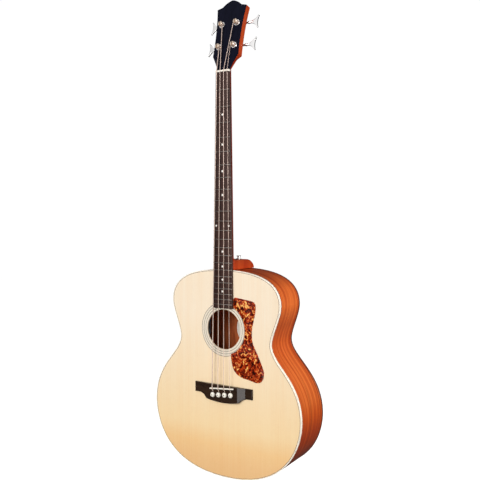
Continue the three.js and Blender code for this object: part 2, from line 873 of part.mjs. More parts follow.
function fretboard() {
  const view = new THREE.Shape();
  view.moveTo(0, boardBackY);
  view.lineTo(-fretboardLength, boardBackY);
  view.lineTo(-fretboardLength, boardFaceY);
  const frets = Array.from({ length: fretCount }, (_, index) => fretCount - index);
  const onBoard = frets.filter((fret) => fretPlace(fret) - fretWidth > -fretboardLength);
  for (const fret of onBoard) {
    const z = fretPlace(fret);
    view.lineTo(z - fretWidth / 2, boardFaceY);
    view.lineTo(z - fretCrownWidth / 2, boardFaceY - fretHeight);
    view.lineTo(z + fretCrownWidth / 2, boardFaceY - fretHeight);
    view.lineTo(z + fretWidth / 2, boardFaceY);
  }
  view.lineTo(0, boardFaceY);
  const geometry = new THREE.ExtrudeGeometry(view, { depth: 1, bevelEnabled: false });
  const place = geometry.attributes.position;
  for (let i = 0; i < place.count; i += 1) {
    const z = place.getX(i);
    place.setXYZ(i, (2 * place.getZ(i) - 1) * halfWidthAt(z), place.getY(i), z);
  }
  return geometry;
}

// Nut: a bone bar across the board's upper end, with a slot for each string
function nut() {
  const crownY = nutSlotY - nutCrown;
  const bar = box(-nutHalfWidth, nutHalfWidth, crownY, boardBackY, fitGap, nutThickness - fitGap);
  const slots = stringIndexes.map((index) => {
    const x = stringShare(index) * nutSpacing;
    const half = stringRadii[index] + fitGap;
    return box(x - half, x + half, crownY - overrun, nutSlotY, -overrun, nutThickness + overrun);
  });
  return cut(bar, ...slots);
}

// Neck: one piece of wood from the headstock to the tenon. Each section is flat in front, round behind
function neckSection(z, frontHalfWidth, backHalfWidth, depth, power) {
  const ring = [];
  for (let i = 0; i < neckSectionPoints; i += 1) {
    const angle = Math.PI * i / (neckSectionPoints - 1);
    const across = Math.sign(Math.cos(angle)) * Math.abs(Math.cos(angle)) ** (2 / power);
    const back = Math.abs(Math.sin(angle)) ** (2 / power);
    const halfWidth = frontHalfWidth + (backHalfWidth - frontHalfWidth) * back;
    ring.push(new THREE.Vector3(halfWidth * across, depth * back, z));
  }
  return ring;
}

function neckShaft() {
  const shoulderZ = -heelShoulderDrop;
  const filletTopZ = shoulderZ + heelFilletRadius;
  const heelBottomZ = bodyTopZ + fitGap;
  const heelRise = shoulderZ - fitGap - heelBottomZ;
  const rings = [
    neckSection(nutThickness, nutHalfWidth, nutHalfWidth, neckDepthAtNut, neckRoundness),
    neckSection(0, nutHalfWidth, nutHalfWidth, neckDepthAtNut, neckRoundness),
  ];
  for (let step = 0; step <= heelSteps; step += 1) {
    const angle = Math.PI / 2 * step / heelSteps;
    const z = filletTopZ - heelFilletRadius * Math.sin(angle);
    const depth = neckDepthAtHeel + heelFilletRadius * (1 - Math.cos(angle));
    rings.push(neckSection(z, halfWidthAt(z), halfWidthAt(z), depth, neckRoundness + step / heelSteps));
  }
  for (let step = 0; step <= heelSteps; step += 1) {
    const angle = Math.PI / 2 * step / heelSteps;
    const z = shoulderZ - fitGap - heelRise * (1 - Math.cos(angle));
    const depth = heelFlatDepth + (heelDepth - heelFlatDepth) * Math.sin(angle);
    rings.push(neckSection(z, halfWidthAt(z), heelHalfWidth, depth, heelSquareness));
  }
  return loft(rings);
}

// Headstock outline: a throat that widens to the shoulders, edges drawn in between them and the
// flared top, and a low crown
function throatPoints() {
  const throat = new THREE.Path();
  throat.moveTo(nutHalfWidth, 0);
  throat.quadraticCurveTo(
    nutHalfWidth, headstockThroatHeight,
    headstockShoulderHalfWidth, headstockShoulderHeight,
  );
  return throat.getPoints(crownSteps);
}

function flankPoints() {
  const flank = new THREE.Path();
  flank.moveTo(headstockShoulderHalfWidth, headstockShoulderHeight);
  flank.quadraticCurveTo(
    headstockFlankHalfWidth, headstockFlankHeight,
    headstockTopHalfWidth, headstockTopHeight,
  );
  return flank.getPoints(crownSteps).slice(1);
}

function headstockOutline() {
  const half = [
    ...throatPoints(),
    ...flankPoints(),
    new THREE.Vector2(crownFootHalfWidth, crownFootHeight),
    ...crownPlaceShares.map(([across, up]) => new THREE.Vector2(
      across * crownFootHalfWidth,
      crownFootHeight + up * (crownHeight - crownFootHeight),
    )),
  ];
  const mirrored = half.map((point) => new THREE.Vector2(-point.x, point.y)).reverse();
  return new THREE.Shape([...half, new THREE.Vector2(0, crownHeight), ...mirrored]);
}

// The throat's back corners are carved round: a wedge that runs out at the shoulder
function throatCarving(side) {
  const places = throatPoints();
  return loft(places.map((place, step) => {
    const share = (1 - step / crownSteps) ** throatBevelFade;
    const edgeDepth = headstockThickness - throatBevelDepth * share;
    const backHalfWidth = place.x - throatBevelReach * share;
    const low = step > 0 ? place.y : -headstockThickness;
    return [
      new THREE.Vector3(side * place.x, edgeDepth, low),
      new THREE.Vector3(side * backHalfWidth, headstockThickness, low),
      new THREE.Vector3(side * (place.x + overrun), headstockThickness + overrun, low),
    ];
  }));
}

// Tuning machine places on the headstock: thick strings on the left, the outer pair lowest
const tunerPlaces = [
  { side: -1, height: lowPostHeight },
  { side: -1, height: highPostHeight },
  { side: 1, height: highPostHeight },
  { side: 1, height: lowPostHeight },
];

function bushingHoles(frontY, backY) {
  const radius = bushingOuterRadius + fitGap;
  return tunerPlaces.map(({ side, height }) => plate(
    circle(radius, side * postOffset, height), frontY, backY,
  ));
}

// Headstock coordinates: x across, y back from the wood's face, z along the face from the nut
function headstockGroup() {
  const group = new THREE.Group();
  group.name = 'headstock_frame';
  group.position.set(0, 0, nutThickness);
  group.rotation.x = -headstockTilt;
  group.updateMatrix();
  return group;
}

function neckWood() {
  const slabWood = cut(
    plate(headstockOutline(), 0, headstockThickness),
    ...bushingHoles(-overrun, headstockThickness + overrun),
    throatCarving(-1),
    throatCarving(1),
  );
  slabWood.applyMatrix4(headstockGroup().matrix);
  const rodChannel = box(
    -trussRodRadius - fitGap, trussRodRadius + fitGap, -overrun, trussRodDepth + trussRodRadius + fitGap,
    bodyTopZ - tenonLength - overrun, -trussRodStart + fitGap,
  );
  const screwHole = turned([
    [0, -heelShoulderDrop - strapScrewLength - fitGap],
    [strapScrewRadius + fitGap, -heelShoulderDrop - strapScrewLength - fitGap],
    [strapScrewRadius + fitGap, -heelShoulderDrop + overrun],
    [0, -heelShoulderDrop + overrun],
  ], 'z').translate(strapButtonOffset, strapButtonDepth, 0);
  const overFace = box(
    -headstockTopHalfWidth, headstockTopHalfWidth, -headstockThickness, 0,
    -overrun, nutThickness,
  );
  return cut(join(neckShaft(), slabWood, tenonBox(0)), rodChannel, screwHole, overFace);
}

function veneer() {
  const sheet = plate(headstockOutline(), veneerFaceY, -fitGap);
  return cut(sheet, ...bushingHoles(veneerFaceY - overrun, overrun));
}

// Truss rod: a round bar under the fretboard, its socket nut reached from the sound hole
function trussRod() {
  const nutHigh = bodyTopZ - tenonLength - fitGap;
  const nutLow = nutHigh - trussNutLength;
  return turned([
    [0, nutLow + trussSocketDepth],
    [trussSocketRadius, nutLow + trussSocketDepth],
    [trussSocketRadius, nutLow],
    [trussNutRadius, nutLow],
    [trussNutRadius, nutHigh],
    [trussRodRadius, nutHigh],
    [trussRodRadius, -trussRodStart],
    [0, -trussRodStart],
  ], 'z').translate(0, trussRodDepth, 0);
}

function addNeck(guitar) {
  const neck = new THREE.Group();
  neck.name = 'neck_frame';
  guitar.add(neck);
  addPart(neck, 'neck', neckWood(), materials.neckWood);
  addPart(neck, 'truss_rod', trussRod(), materials.steel);
  addPart(neck, 'fretboard', fretboard(), materials.rosewood);
  addPart(neck, 'nut', nut(), materials.bone);
  const headstock = headstockGroup();
  neck.add(headstock);
  addPart(headstock, 'headstock_veneer', veneer(), materials.blackVeneer);
  tunerPlaces.forEach((place, index) => addTuner(headstock, place, stringNames[index]));
}

// Base plate behind the headstock, with two ears that carry the worm shaft
function tunerPlate() {
  const seatY = headstockThickness + fitGap;
  const faceY = seatY + tunerPlateThickness;
  const earBackY = wormAxisDepth + wormPitchRadius + runGap;
  const base = cut(
    box(-tunerPlateHalfWidth, tunerPlateHalfWidth, seatY, faceY, -tunerPlateBelow, tunerPlateAbove),
    plate(circle(postShaftRadius + runGap), seatY - overrun, faceY + overrun),
  );
  const ears = [-1, 1].map((side) => {
    const centre = side * earOffset;
    return box(
      centre - earThickness / 2, centre + earThickness / 2, faceY - fitGap, earBackY,
      wormCentreDistance - earHalfWidth, wormCentreDistance + earHalfWidth,
    );
  });
  const bore = turned([
    [0, -tunerPlateHalfWidth],
    [wormRootRadius + runGap, -tunerPlateHalfWidth],
    [wormRootRadius + runGap, tunerPlateHalfWidth],
    [0, tunerPlateHalfWidth],
  ], 'x').translate(0, wormAxisDepth, wormCentreDistance);
  return cut(join(base, ...ears), bore);
}

// Worm thread: a ridge that winds round the shaft and passes the gear at the shaft's middle
function wormThread() {
  const halfFoot = wormLead * threadShare / 2 + toothFall * threadShare / 2;
  const halfTip = wormLead * threadShare / 2 - toothRise * threadShare / 2;
  const tip = wormPitchRadius + toothRise;
  const steps = wormTurns * wormStepsPerTurn;
  const rings = [];
  for (let step = 0; step <= steps; step += 1) {
    const turn = step / wormStepsPerTurn - wormTurns / 2;
    const angle = 2 * Math.PI * turn;
    const across = wormLead * turn;
    const corner = (radius, offset) => new THREE.Vector3(
      across + offset, radius * Math.sin(angle), -radius * Math.cos(angle),
    );
    const root = wormRootRadius - fitGap;
    rings.push([
      corner(root, -halfFoot), corner(tip, -halfTip),
      corner(tip, halfTip), corner(root, halfFoot),
    ]);
  }
  return loft(rings);
}

// Key: a fish-tail blade on the worm's shaft, thin at the neck and wide at the outer end
function keyBlade() {
  const neckHalf = keyNeckRadius;
  const tipRadius = keyBladeThickness / 2;
  const tipX = keyBladeEnd - tipRadius;
  const half = new THREE.Path();
  half.moveTo(keyBladeStart - keyNeckRadius, neckHalf);
  half.quadraticCurveTo((keyBladeStart + tipX) / 2, neckHalf, tipX, keyBladeHalfHeight);
  half.quadraticCurveTo(keyBladeEnd, keyBladeHalfHeight, keyBladeEnd, keyBladeHalfHeight - tipRadius);
  half.quadraticCurveTo(keyBladeEnd - keyEndDip, keyBladeHalfHeight / 2, keyBladeEnd - keyEndDip, 0);
  const points = half.getPoints(crownSteps);
  const mirrored = points.slice(0, -1).reverse().map((point) => new THREE.Vector2(point.x, -point.y));
  return plate(new THREE.Shape([...points, ...mirrored]), -keyBladeThickness / 2, keyBladeThickness / 2);
}

function tunerKey() {
  const innerEnd = earOffset + earThickness;
  const stemStart = earOffset + earThickness / 2 + runGap;
  const shaft = turned([
    [0, -innerEnd],
    [wormRootRadius, -innerEnd],
    [wormRootRadius, stemStart],
    [keyStemRadius + runGap, stemStart],
    [keyStemRadius, keyCollarStart - overrun],
    [keyCollarRadius, keyCollarStart],
    [keyCollarRadius, keyCollarStart + keyCollarLength],
    [keyNeckRadius, keyBladeStart],
    [keyNeckRadius, keyBladeStart + overrun],
    [0, keyBladeStart + overrun],
  ], 'x');
  return join(shaft, wormThread(), keyBlade());
}

// Gear wheel with short trapezoid teeth, a gap facing the worm
function gearWheel() {
  const toothAngle = 2 * Math.PI / gearTeeth;
  const corners = [];
  for (let tooth = 0; tooth < gearTeeth; tooth += 1) {
    const middle = Math.PI / 2 + (tooth + 1 / 2) * toothAngle;
    const foot = toothAngle * toothShare * (1 + toothShare) / 2;
    const tip = toothAngle * toothShare * (1 - toothShare) / 2;
    const places = [
      [gearPitchRadius - toothFall, -foot], [gearPitchRadius + toothRise, -tip],
      [gearPitchRadius + toothRise, tip], [gearPitchRadius - toothFall, foot],
    ];
    for (const [radius, turn] of places) {
      const angle = middle + turn;
      corners.push(new THREE.Vector2(radius * Math.cos(angle), radius * Math.sin(angle)));
    }
  }
  const half = gearThickness / 2;
  return plate(new THREE.Shape(corners), wormAxisDepth - half, wormAxisDepth + half);
}

function stringPost() {
  const backY = wormAxisDepth + gearThickness / 2 + postCollarHeight;
  const collarY = bushingFaceY - runGap;
  const topY = postWaistFrontY - postHeadHeight;
  const post = turned([
    [0, backY],
    [wormPitchRadius, backY],
    [wormPitchRadius, wormAxisDepth],
    [postShaftRadius, wormAxisDepth],
    [postShaftRadius, collarY],
    [postHeadRadius, collarY],
    [postHeadRadius, postWaistBackY],
    [postWaistRadius, postWaistBackY],
    [postWaistRadius, postWaistFrontY],
    [postHeadRadius, postWaistFrontY],
    [postHeadRadius, topY + postCollarHeight],
    [postHeadRadius - postCollarHeight, topY],
    [0, topY],
  ]);
  const slot = box(
    -postSlotWidth / 2, postSlotWidth / 2, topY - overrun, topY + postSlotDepth,
    -postHeadRadius - overrun, postHeadRadius + overrun,
  );
  return cut(join(post, gearWheel()), slot);
}

function bushing() {
  const flangeBackY = veneerFaceY - fitGap;
  const profile = [
    [bushingBoreRadius, bushingSleeveLength],
    [bushingOuterRadius, bushingSleeveLength],
    [bushingOuterRadius, flangeBackY],
    [bushingFlangeRadius, flangeBackY],
    [bushingFlangeRadius, bushingFaceY + bushingFlangeThickness / 2],
    [bushingFlangeRadius - bushingFlangeThickness / 2, bushingFaceY],
    [bushingBoreRadius, bushingFaceY],
  ];
  return turned([...profile, profile[0]]);
}

function addTuner(headstock, { side, height }, name) {
  const tuner = new THREE.Group();
  tuner.name = `tuner_frame_${name}`;
  tuner.position.set(side * postOffset, 0, height);
  headstock.add(tuner);
  addPart(tuner, `tuner_plate_${name}`, tunerPlate(), materials.chrome);
  addPart(tuner, `post_bushing_${name}`, bushing(), materials.chrome);
  addPart(tuner, `string_post_${name}`, stringPost(), materials.chrome);
  const key = addPart(tuner, `tuner_key_${name}`, tunerKey(), materials.chrome);
  key.position.set(0, wormAxisDepth, wormCentreDistance);
  key.rotation.z = side > 0 ? 0 : Math.PI;
}

// Bridge: seen from the front a bar with a belly, seen from above thick in the middle, thin at the wings
function bridgeOutline() {
  const top = -bridgeTopDrop;
  const half = new THREE.Path();
  half.moveTo(bridgeHalfWidth, top);
  half.lineTo(bridgeHalfWidth, top - bridgeWingLength);
  half.lineTo(bridgeCoveEnd, top - bridgeWingLength);
  half.quadraticCurveTo(
    bridgeCoveTurn, top - bridgeCoveTurnDrop,
    bridgeBellyHalfWidth, top - bridgeBellyCorner,
  );
  half.quadraticCurveTo(bridgeBellyHalfWidth / 2, top - bridgeLength, 0, top - bridgeLength);
  const points = half.getPoints(crownSteps);
  const mirrored = points.slice(0, -1).reverse().map((point) => new THREE.Vector2(-point.x, point.y));
  return new THREE.Shape([...points, ...mirrored].reverse());
}

function bridgeBody() {
  const wingY = bridgeBackY - bridgeWingHeight;
  const points = [
    new THREE.Vector2(bridgeHalfWidth + overrun, bridgeBackY),
    new THREE.Vector2(bridgeHalfWidth + overrun, wingY),
    new THREE.Vector2(wingScoopEnd, wingY),
    new THREE.Vector2(wingScoopStart, bridgeFaceY),
  ];
  const mirrored = [...points].reverse().map((point) => new THREE.Vector2(-point.x, point.y));
  const view = new THREE.Shape([...points, ...mirrored]);
  const depth = bridgeLength + 2 * overrun;
  const bar = new THREE.ExtrudeGeometry(view, { depth, bevelEnabled: false });
  bar.translate(0, 0, -bridgeTopDrop - bridgeLength - overrun);
  return shared(bar, plate(bridgeOutline(), bridgeFaceY - overrun, overrun));
}

// A bar that follows the saddle's slope, between two depths
function saddleBar(halfLength, halfWidth, frontY, backY) {
  const bar = box(-halfLength, halfLength, frontY, backY, -halfWidth, halfWidth);
  return bar.rotateY(-Math.atan(bridgeSlope)).translate(0, 0, -saddleDrop);
}

// The ramp that lets a string rise from its pin hole toward the saddle
function stringRamp(index) {
  const place = pinPlace(index);
  const half = stringRadii[index] + 2 * fitGap;
  const reach = pinHeadRadius + stringRadii[index];
  const view = new THREE.Shape();
  view.moveTo(0, bridgeFaceY - overrun);
  view.lineTo(0, bridgeFaceY + bridgeHeight / 2);
  view.lineTo(reach, bridgeFaceY + bridgeHeight / 2);
  view.lineTo(reach + bridgeHeight / 2, bridgeFaceY);
  view.lineTo(reach + bridgeHeight / 2, bridgeFaceY - overrun);
  const ramp = new THREE.ExtrudeGeometry(view, { depth: 2 * half, bevelEnabled: false });
  return ramp.rotateY(-Math.PI / 2).translate(place.x + half, 0, place.y);
}

function bridge() {
  const slotFloorY = bridgeFaceY + saddleSlotDepth;
  const slot = saddleBar(
    saddleHalfLength + fitGap, saddleThickness / 2 + fitGap,
    bridgeFaceY - overrun, slotFloorY,
  );
  const holes = stringIndexes.flatMap((index) => pinCutters(index, bridgeFaceY - overrun, overrun));
  return cut(bridgeBody(), slot, ...holes, ...stringIndexes.map(stringRamp));
}

// Bridge pin: a tapered shaft under a domed head
function bridgePin() {
  const seatY = bridgeFaceY - fitGap;
  const tipY = seatY + pinLength;
  const dome = pinCapShares.map(([out, up]) => [out * pinHeadRadius, seatY - up * pinHeadHeight]);
  return turned([
    [0, tipY + pinTipRadius / 2],
    [pinTipRadius / 2, tipY + pinTipRadius / 2],
    [pinTipRadius, tipY],
    [pinShaftRadius, seatY],
    [pinHeadRadius, seatY],
    [pinHeadRadius, seatY - fitGap],
    ...dome,
    [0, seatY - pinHeadHeight],
  ]);
}

function addBridge(body) {
  const slotFloorY = bridgeFaceY + saddleSlotDepth - fitGap;
  const pickupFrontY = slotFloorY - pickupThickness;
  addPart(body, 'bridge', bridge(), materials.rosewood);
  const halfThickness = saddleThickness / 2;
  const saddle = saddleBar(saddleHalfLength, halfThickness, saddleCrownY, pickupFrontY - fitGap);
  const pickup = saddleBar(saddleHalfLength, halfThickness, pickupFrontY, slotFloorY);
  addPart(body, 'saddle', saddle, materials.bone);
  addPart(body, 'saddle_pickup', pickup, materials.steel);
  for (const index of stringIndexes) {
    const place = pinPlace(index);
    const pin = addPart(body, `bridge_pin_${stringNames[index]}`, bridgePin(), materials.bone);
    pin.position.set(place.x, 0, place.y);
  }
}

// A route whose rings stand exactly at its own points
class Route extends THREE.CatmullRomCurve3 {
  getUtoTmapping(share) {
    return share;
  }
}

function tube(points, radius) {
  return new THREE.ExtrudeGeometry(circleOf(radius, stringSides), {
    steps: points.length - 1,
    extrudePath: new Route(points, false, 'centripetal'),
  });
}

function circleOf(radius, sides) {
  const corners = [];
  for (let side = 0; side < sides; side += 1) {
    const angle = 2 * Math.PI * side / sides;
    corners.push(new THREE.Vector2(radius * Math.cos(angle), radius * Math.sin(angle)));
  }
  return new THREE.Shape(corners);
}

// From the ball under the bridge plate, up its notch and over the saddle to the nut
function ballPlace(index) {
  const pin = pinPlace(index);
  const frontY = soundboardThickness + fitGap + bridgePlateThickness + fitGap;
  return new THREE.Vector3(pin.x, frontY, pin.y + pinShaftRadius + fitGap + ballRadius);
}

function stringRun(index) {
  const radius = stringRadii[index];
  const pin = pinPlace(index);
  const ball = ballPlace(index);
  const notchZ = pin.y + notchReach(index);
  const saddleX = stringShare(index) * saddleSpacing;
  const saddleZ = -saddleDrop + bridgeSlope * saddleX;
  const nutX = stringShare(index) * nutSpacing;
  const underHeadY = bridgeFaceY + radius + fitGap;
  const nutY = nutSlotY - radius - fitGap;
  return [
    new THREE.Vector3(pin.x, ball.y + ballLength / 2, notchZ),
    new THREE.Vector3(pin.x, bridgeFaceY + bridgeHeight / 2, notchZ),
    new THREE.Vector3(pin.x, underHeadY, notchZ + radius / 2),
    new THREE.Vector3(pin.x, underHeadY - radius / 2, pin.y + pinHeadRadius + 2 * radius),
    new THREE.Vector3(saddleX, saddleCrownY - radius, saddleZ - saddleThickness),
    new THREE.Vector3(saddleX, saddleCrownY - radius - fitGap, saddleZ),
    new THREE.Vector3(nutX, nutY, 0),
    new THREE.Vector3(nutX, nutY, nutThickness),
  ];
}

// Winding on the post: in headstock coordinates, from where the string meets the post to its end
function windingPoints(index) {
  const radius = stringRadii[index];
  const { side, height } = tunerPlaces[index];
  const centre = new THREE.Vector2(side * postOffset, height);
  const reach = postWaistRadius + runGap + radius;
  const pitch = 2 * radius + windingGap;
  const nutExit = new THREE.Vector2(stringShare(index) * nutSpacing, 0);
  const toNut = nutExit.clone().sub(centre);
  const first = toNut.angle() - side * Math.acos(reach / toNut.length());
  const startY = postWaistFrontY + runGap + radius;
  const points = [];
  for (let step = 0; step <= stringTurns[index] * stepsPerTurn; step += 1) {
    const turn = step / stepsPerTurn;
    const angle = first - side * 2 * Math.PI * turn;
    points.push(new THREE.Vector3(
      centre.x + reach * Math.cos(angle),
      startY + pitch * turn,
      centre.y + reach * Math.sin(angle),
    ));
  }
  return points;
}

function leastGap(points, radius) {
  let least = Infinity;
  for (let i = 0; i < points.length; i += 1) {
    for (let j = i + stepsPerTurn / 2; j < points.length; j += 1) {
      least = Math.min(least, points[i].distanceTo(points[j]) - 2 * radius);
    }
  }
  return least;
}

function addStrings(guitar) {
  const toGuitar = headstockGroup().matrix;
  for (const index of stringIndexes) {
    const radius = stringRadii[index];
    const winding = windingPoints(index).map((point) => point.applyMatrix4(toGuitar));
    const wire = tube([...stringRun(index), ...winding], radius);
    const place = ballPlace(index);
    const ball = turned([
      [0, 0],
      [ballRadius, 0],
      [ballRadius, ballLength],
      [0, ballLength],
    ]).translate(place.x, place.y, place.z);
    addPart(guitar, `string_${stringNames[index]}`, join(wire, ball), materials.bronze);
    const gap = leastGap(winding, radius);
    console.log(`string ${stringNames[index]}: least gap between turns ${gap.toFixed(2)} mm`);
  }
}

// Strap button on the heel's shoulder, and the jack that is also the end pin
function addStrapButtonAndJack(guitar) {
  const seatZ = -heelShoulderDrop + fitGap;
  const [footZ, waistLowZ, waistHighZ, rimZ, topZ] = strapButtonHeights.map((height) => seatZ + height);
  const button = turned([
    [0, seatZ - strapScrewLength],
    [strapScrewRadius, seatZ - strapScrewLength],
    [strapScrewRadius, seatZ],
    [strapButtonRadius, seatZ],
    [strapButtonRadius, footZ],
    [strapButtonWaist, waistLowZ],
    [strapButtonWaist, waistHighZ],
    [strapButtonRadius, rimZ],
    [strapButtonRadius, topZ],
    [0, topZ],
  ], 'z');
  button.translate(strapButtonOffset, strapButtonDepth, 0);
  addPart(guitar, 'strap_button', button, materials.chrome);
  const flangeLow = tailZ - fitGap - jackFlangeThickness;
  const jack = turned([
    [0, tailZ + jackLength],
    [jackRadius, tailZ + jackLength],
    [jackRadius, tailZ - fitGap],
    [jackFlangeRadius, tailZ - fitGap],
    [jackFlangeRadius, flangeLow],
    [jackBoreRadius, flangeLow],
    [jackBoreRadius, flangeLow + jackBoreDepth],
    [0, flangeLow + jackBoreDepth],
  ], 'z');
  addPart(guitar, 'end_pin_jack', jack.translate(0, jackDepth, 0), materials.chrome);
}

// Preamp under the soundboard beside the sound hole, with two wheels that reach past the hole's edge
function wheelSeat(drop) {
  const axle = wheelAxleRadius + runGap;
  const rim = wheelRadius + runGap;
  const front = wheelFront - runGap;
  const back = wheelFront + wheelThickness + runGap;
  const reach = wheelAxleLength + runGap;
  return turned([
    [0, front - reach], [axle, front - reach], [axle, front], [rim, front],
    [rim, back], [axle, back], [axle, back + reach], [0, back + reach],
  ], 'y', wheelSteps).translate(wheelOffset, 0, -drop);
}

function controlWheel() {
  const back = wheelFront + wheelThickness;
  return turned([
    [0, wheelFront - wheelAxleLength],
    [wheelAxleRadius, wheelFront - wheelAxleLength],
    [wheelAxleRadius, wheelFront],
    [wheelRadius, wheelFront],
    [wheelRadius, back],
    [wheelAxleRadius, back],
    [wheelAxleRadius, back + wheelAxleLength],
    [0, back + wheelAxleLength],
  ], 'y', wheelSteps);
}

function addPreamp(body) {
  const front = soundboardThickness + fitGap;
  const housing = box(preampLeft, preampRight, front, front + preampDepth, preampBottom, preampTop);
  addPart(body, 'preamp_housing', cut(housing, ...wheelDrops.map(wheelSeat)), materials.blackPlastic);
  ['volume_wheel', 'tone_wheel'].forEach((name, index) => {
    const wheel = addPart(body, name, controlWheel(), materials.blackPlastic);
    wheel.position.set(wheelOffset, 0, -wheelDrops[index]);
  });
}

// The whole guitar
const guitar = new THREE.Group();
guitar.name = 'acoustic_bass_guitar';
const body = new THREE.Group();
body.name = 'body_frame';
guitar.add(body);
const room = bodyRoom(bracedInset);
addBodyShell(body);
addBlocks(body);
addLinings(body);
addSoundboardBraces(body, room);
addPart(body, 'bridge_plate', bridgePlate(), materials.plainWood);
addBackBraces(body, room);
addRosetteAndLabel(body);
addPart(body, 'pickguard', pickguard(), materials.shell);
addBridge(body);
addPreamp(body);
addNeck(guitar);
addStrings(guitar);
addStrapButtonAndJack(guitar);

export default guitar;
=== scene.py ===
import math
import bpy
from mathutils import Matrix, Vector


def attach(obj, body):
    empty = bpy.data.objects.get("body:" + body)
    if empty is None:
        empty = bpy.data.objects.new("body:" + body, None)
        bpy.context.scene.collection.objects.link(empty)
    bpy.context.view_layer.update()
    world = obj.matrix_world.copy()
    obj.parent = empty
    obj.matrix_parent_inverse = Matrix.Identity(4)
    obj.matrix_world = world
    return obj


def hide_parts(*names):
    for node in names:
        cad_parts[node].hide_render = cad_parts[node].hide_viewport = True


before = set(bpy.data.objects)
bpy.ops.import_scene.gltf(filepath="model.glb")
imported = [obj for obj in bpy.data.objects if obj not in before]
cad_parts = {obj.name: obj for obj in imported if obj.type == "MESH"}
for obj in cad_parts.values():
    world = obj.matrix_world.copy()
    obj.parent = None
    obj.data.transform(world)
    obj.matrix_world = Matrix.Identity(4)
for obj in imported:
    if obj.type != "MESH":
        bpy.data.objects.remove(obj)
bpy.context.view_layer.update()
scene = bpy.context.scene
scene.view_settings.view_transform = "Standard"


# Camera
# A long lens stands in front of the thin strings' side, at the height of the upper frets, so that
# the soundboard and the treble side are both seen. The picture is a part cut off centre.
camera_place = Vector((0.9045, -1.2689, -0.3628))
camera_turn = math.radians(29.345)
camera_dip = math.radians(1.245)
camera_roll = math.radians(0.112)
camera_data = bpy.data.cameras.new("studio_camera")
camera_data.sensor_width = 36.0
camera_data.lens = 46.79
camera_data.shift_x = -0.106
camera_data.shift_y = -0.0147
camera_data.clip_end = 60.0
camera = bpy.data.objects.new("studio_camera", camera_data)
scene.collection.objects.link(camera)
camera.matrix_world = (
    Matrix.Translation(camera_place)
    @ Matrix.Rotation(camera_turn, 4, "Z")
    @ Matrix.Rotation(math.pi / 2 - camera_dip, 4, "X")
    @ Matrix.Rotation(camera_roll, 4, "Z")
)
scene.camera = camera


# Studio
# A bright even room with a large soft lamp high in front, one beside the treble side and a small
# card low in front. Behind the guitar the room shows white, but in gloss it is dark there.
guitar_middle = Vector((0.0, 0.04, -0.6))
floor_drop = -1.35
white = (1.0, 1.0, 1.0, 1.0)


def shade(red, green, blue):
    """A colour given in picture values from 0 to 255, as the linear colour that a socket takes."""
    linear = []
    for value in (red, green, blue):
        part = value / 255.0
        linear.append(part / 12.92 if part <= 0.04045 else ((part + 0.055) / 1.055) ** 2.4)
    return (*linear, 1.0)


def place(tree, kind, inputs=None, **settings):
    """Adds a node, sets its options, and fills or links its inputs."""
    made = tree.nodes.new(kind)
    for name, value in settings.items():
        setattr(made, name, value)
    for name, value in (inputs or {}).items():
        if isinstance(value, bpy.types.NodeSocket):
            tree.links.new(value, made.inputs[name])
        else:
            made.inputs[name].default_value = value
    return made


def soft_lamp(name, spot, size, power, colour):
    """A flat lamp at a spot, turned to face the guitar's middle."""
    lamp_data = bpy.data.lights.new(name, "AREA")
    lamp_data.shape = "RECTANGLE"
    lamp_data.size, lamp_data.size_y = size
    lamp_data.energy = power
    lamp_data.color = colour
    lamp = bpy.data.objects.new(name, lamp_data)
    scene.collection.objects.link(lamp)
    lamp.location = spot
    lamp.rotation_mode = "QUATERNION"
    lamp.rotation_quaternion = (Vector(spot) - guitar_middle).to_track_quat("Z", "Y")


world = bpy.data.worlds.new("studio_room")
scene.world = world
world.use_nodes = True
room = world.node_tree
room.nodes.clear()
room_rays = place(room, "ShaderNodeLightPath")
seen_first = place(room, "ShaderNodeMath", {
    0: room_rays.outputs["Is Camera Ray"], 1: room_rays.outputs["Is Transmission Ray"],
}, operation="MAXIMUM")
room_direction = place(room, "ShaderNodeTexCoord").outputs["Generated"]
room_height = place(room, "ShaderNodeSeparateXYZ", {0: room_direction}).outputs["Z"]
room_front = place(room, "ShaderNodeVectorMath", {
    0: room_direction, 1: (0.45, -0.87, 0.2),
}, operation="DOT_PRODUCT").outputs["Value"]
mirror_rise = place(room, "ShaderNodeMapRange", {
    "Value": room_front, "From Min": -0.35, "From Max": 0.45, "To Min": 0.06, "To Max": 0.95,
})
lit_rise = place(room, "ShaderNodeMapRange", {
    "Value": room_height, "From Min": -0.7, "From Max": 0.4, "To Min": 0.14, "To Max": 0.36,
})
mirror_room = place(room, "ShaderNodeBackground", {"Color": white, "Strength": mirror_rise.outputs[0]})
lit_room = place(room, "ShaderNodeBackground", {
    "Color": shade(255, 253, 250), "Strength": lit_rise.outputs[0],
})
white_room = place(room, "ShaderNodeBackground", {"Color": white, "Strength": 1.02})
room_or_mirror = place(room, "ShaderNodeMixShader", {
    0: room_rays.outputs["Is Glossy Ray"], 1: lit_room.outputs[0], 2: mirror_room.outputs[0],
})
room_mix = place(room, "ShaderNodeMixShader", {
    0: seen_first.outputs[0], 1: room_or_mirror.outputs[0], 2: white_room.outputs[0],
})
place(room, "ShaderNodeOutputWorld", {0: room_mix.outputs[0]})

soft_lamp("front_softbox", (0.15, -2.9, 0.35), (1.5, 1.3), 64.0, (1.0, 0.985, 0.965))
soft_lamp("side_softbox", (2.5, 0.3, -0.25), (0.8, 1.0), 50.0, (1.0, 0.98, 0.955))
soft_lamp("low_card", (0.0, -1.45, -1.21), (0.42, 0.26), 3.0, (1.0, 1.0, 1.0))

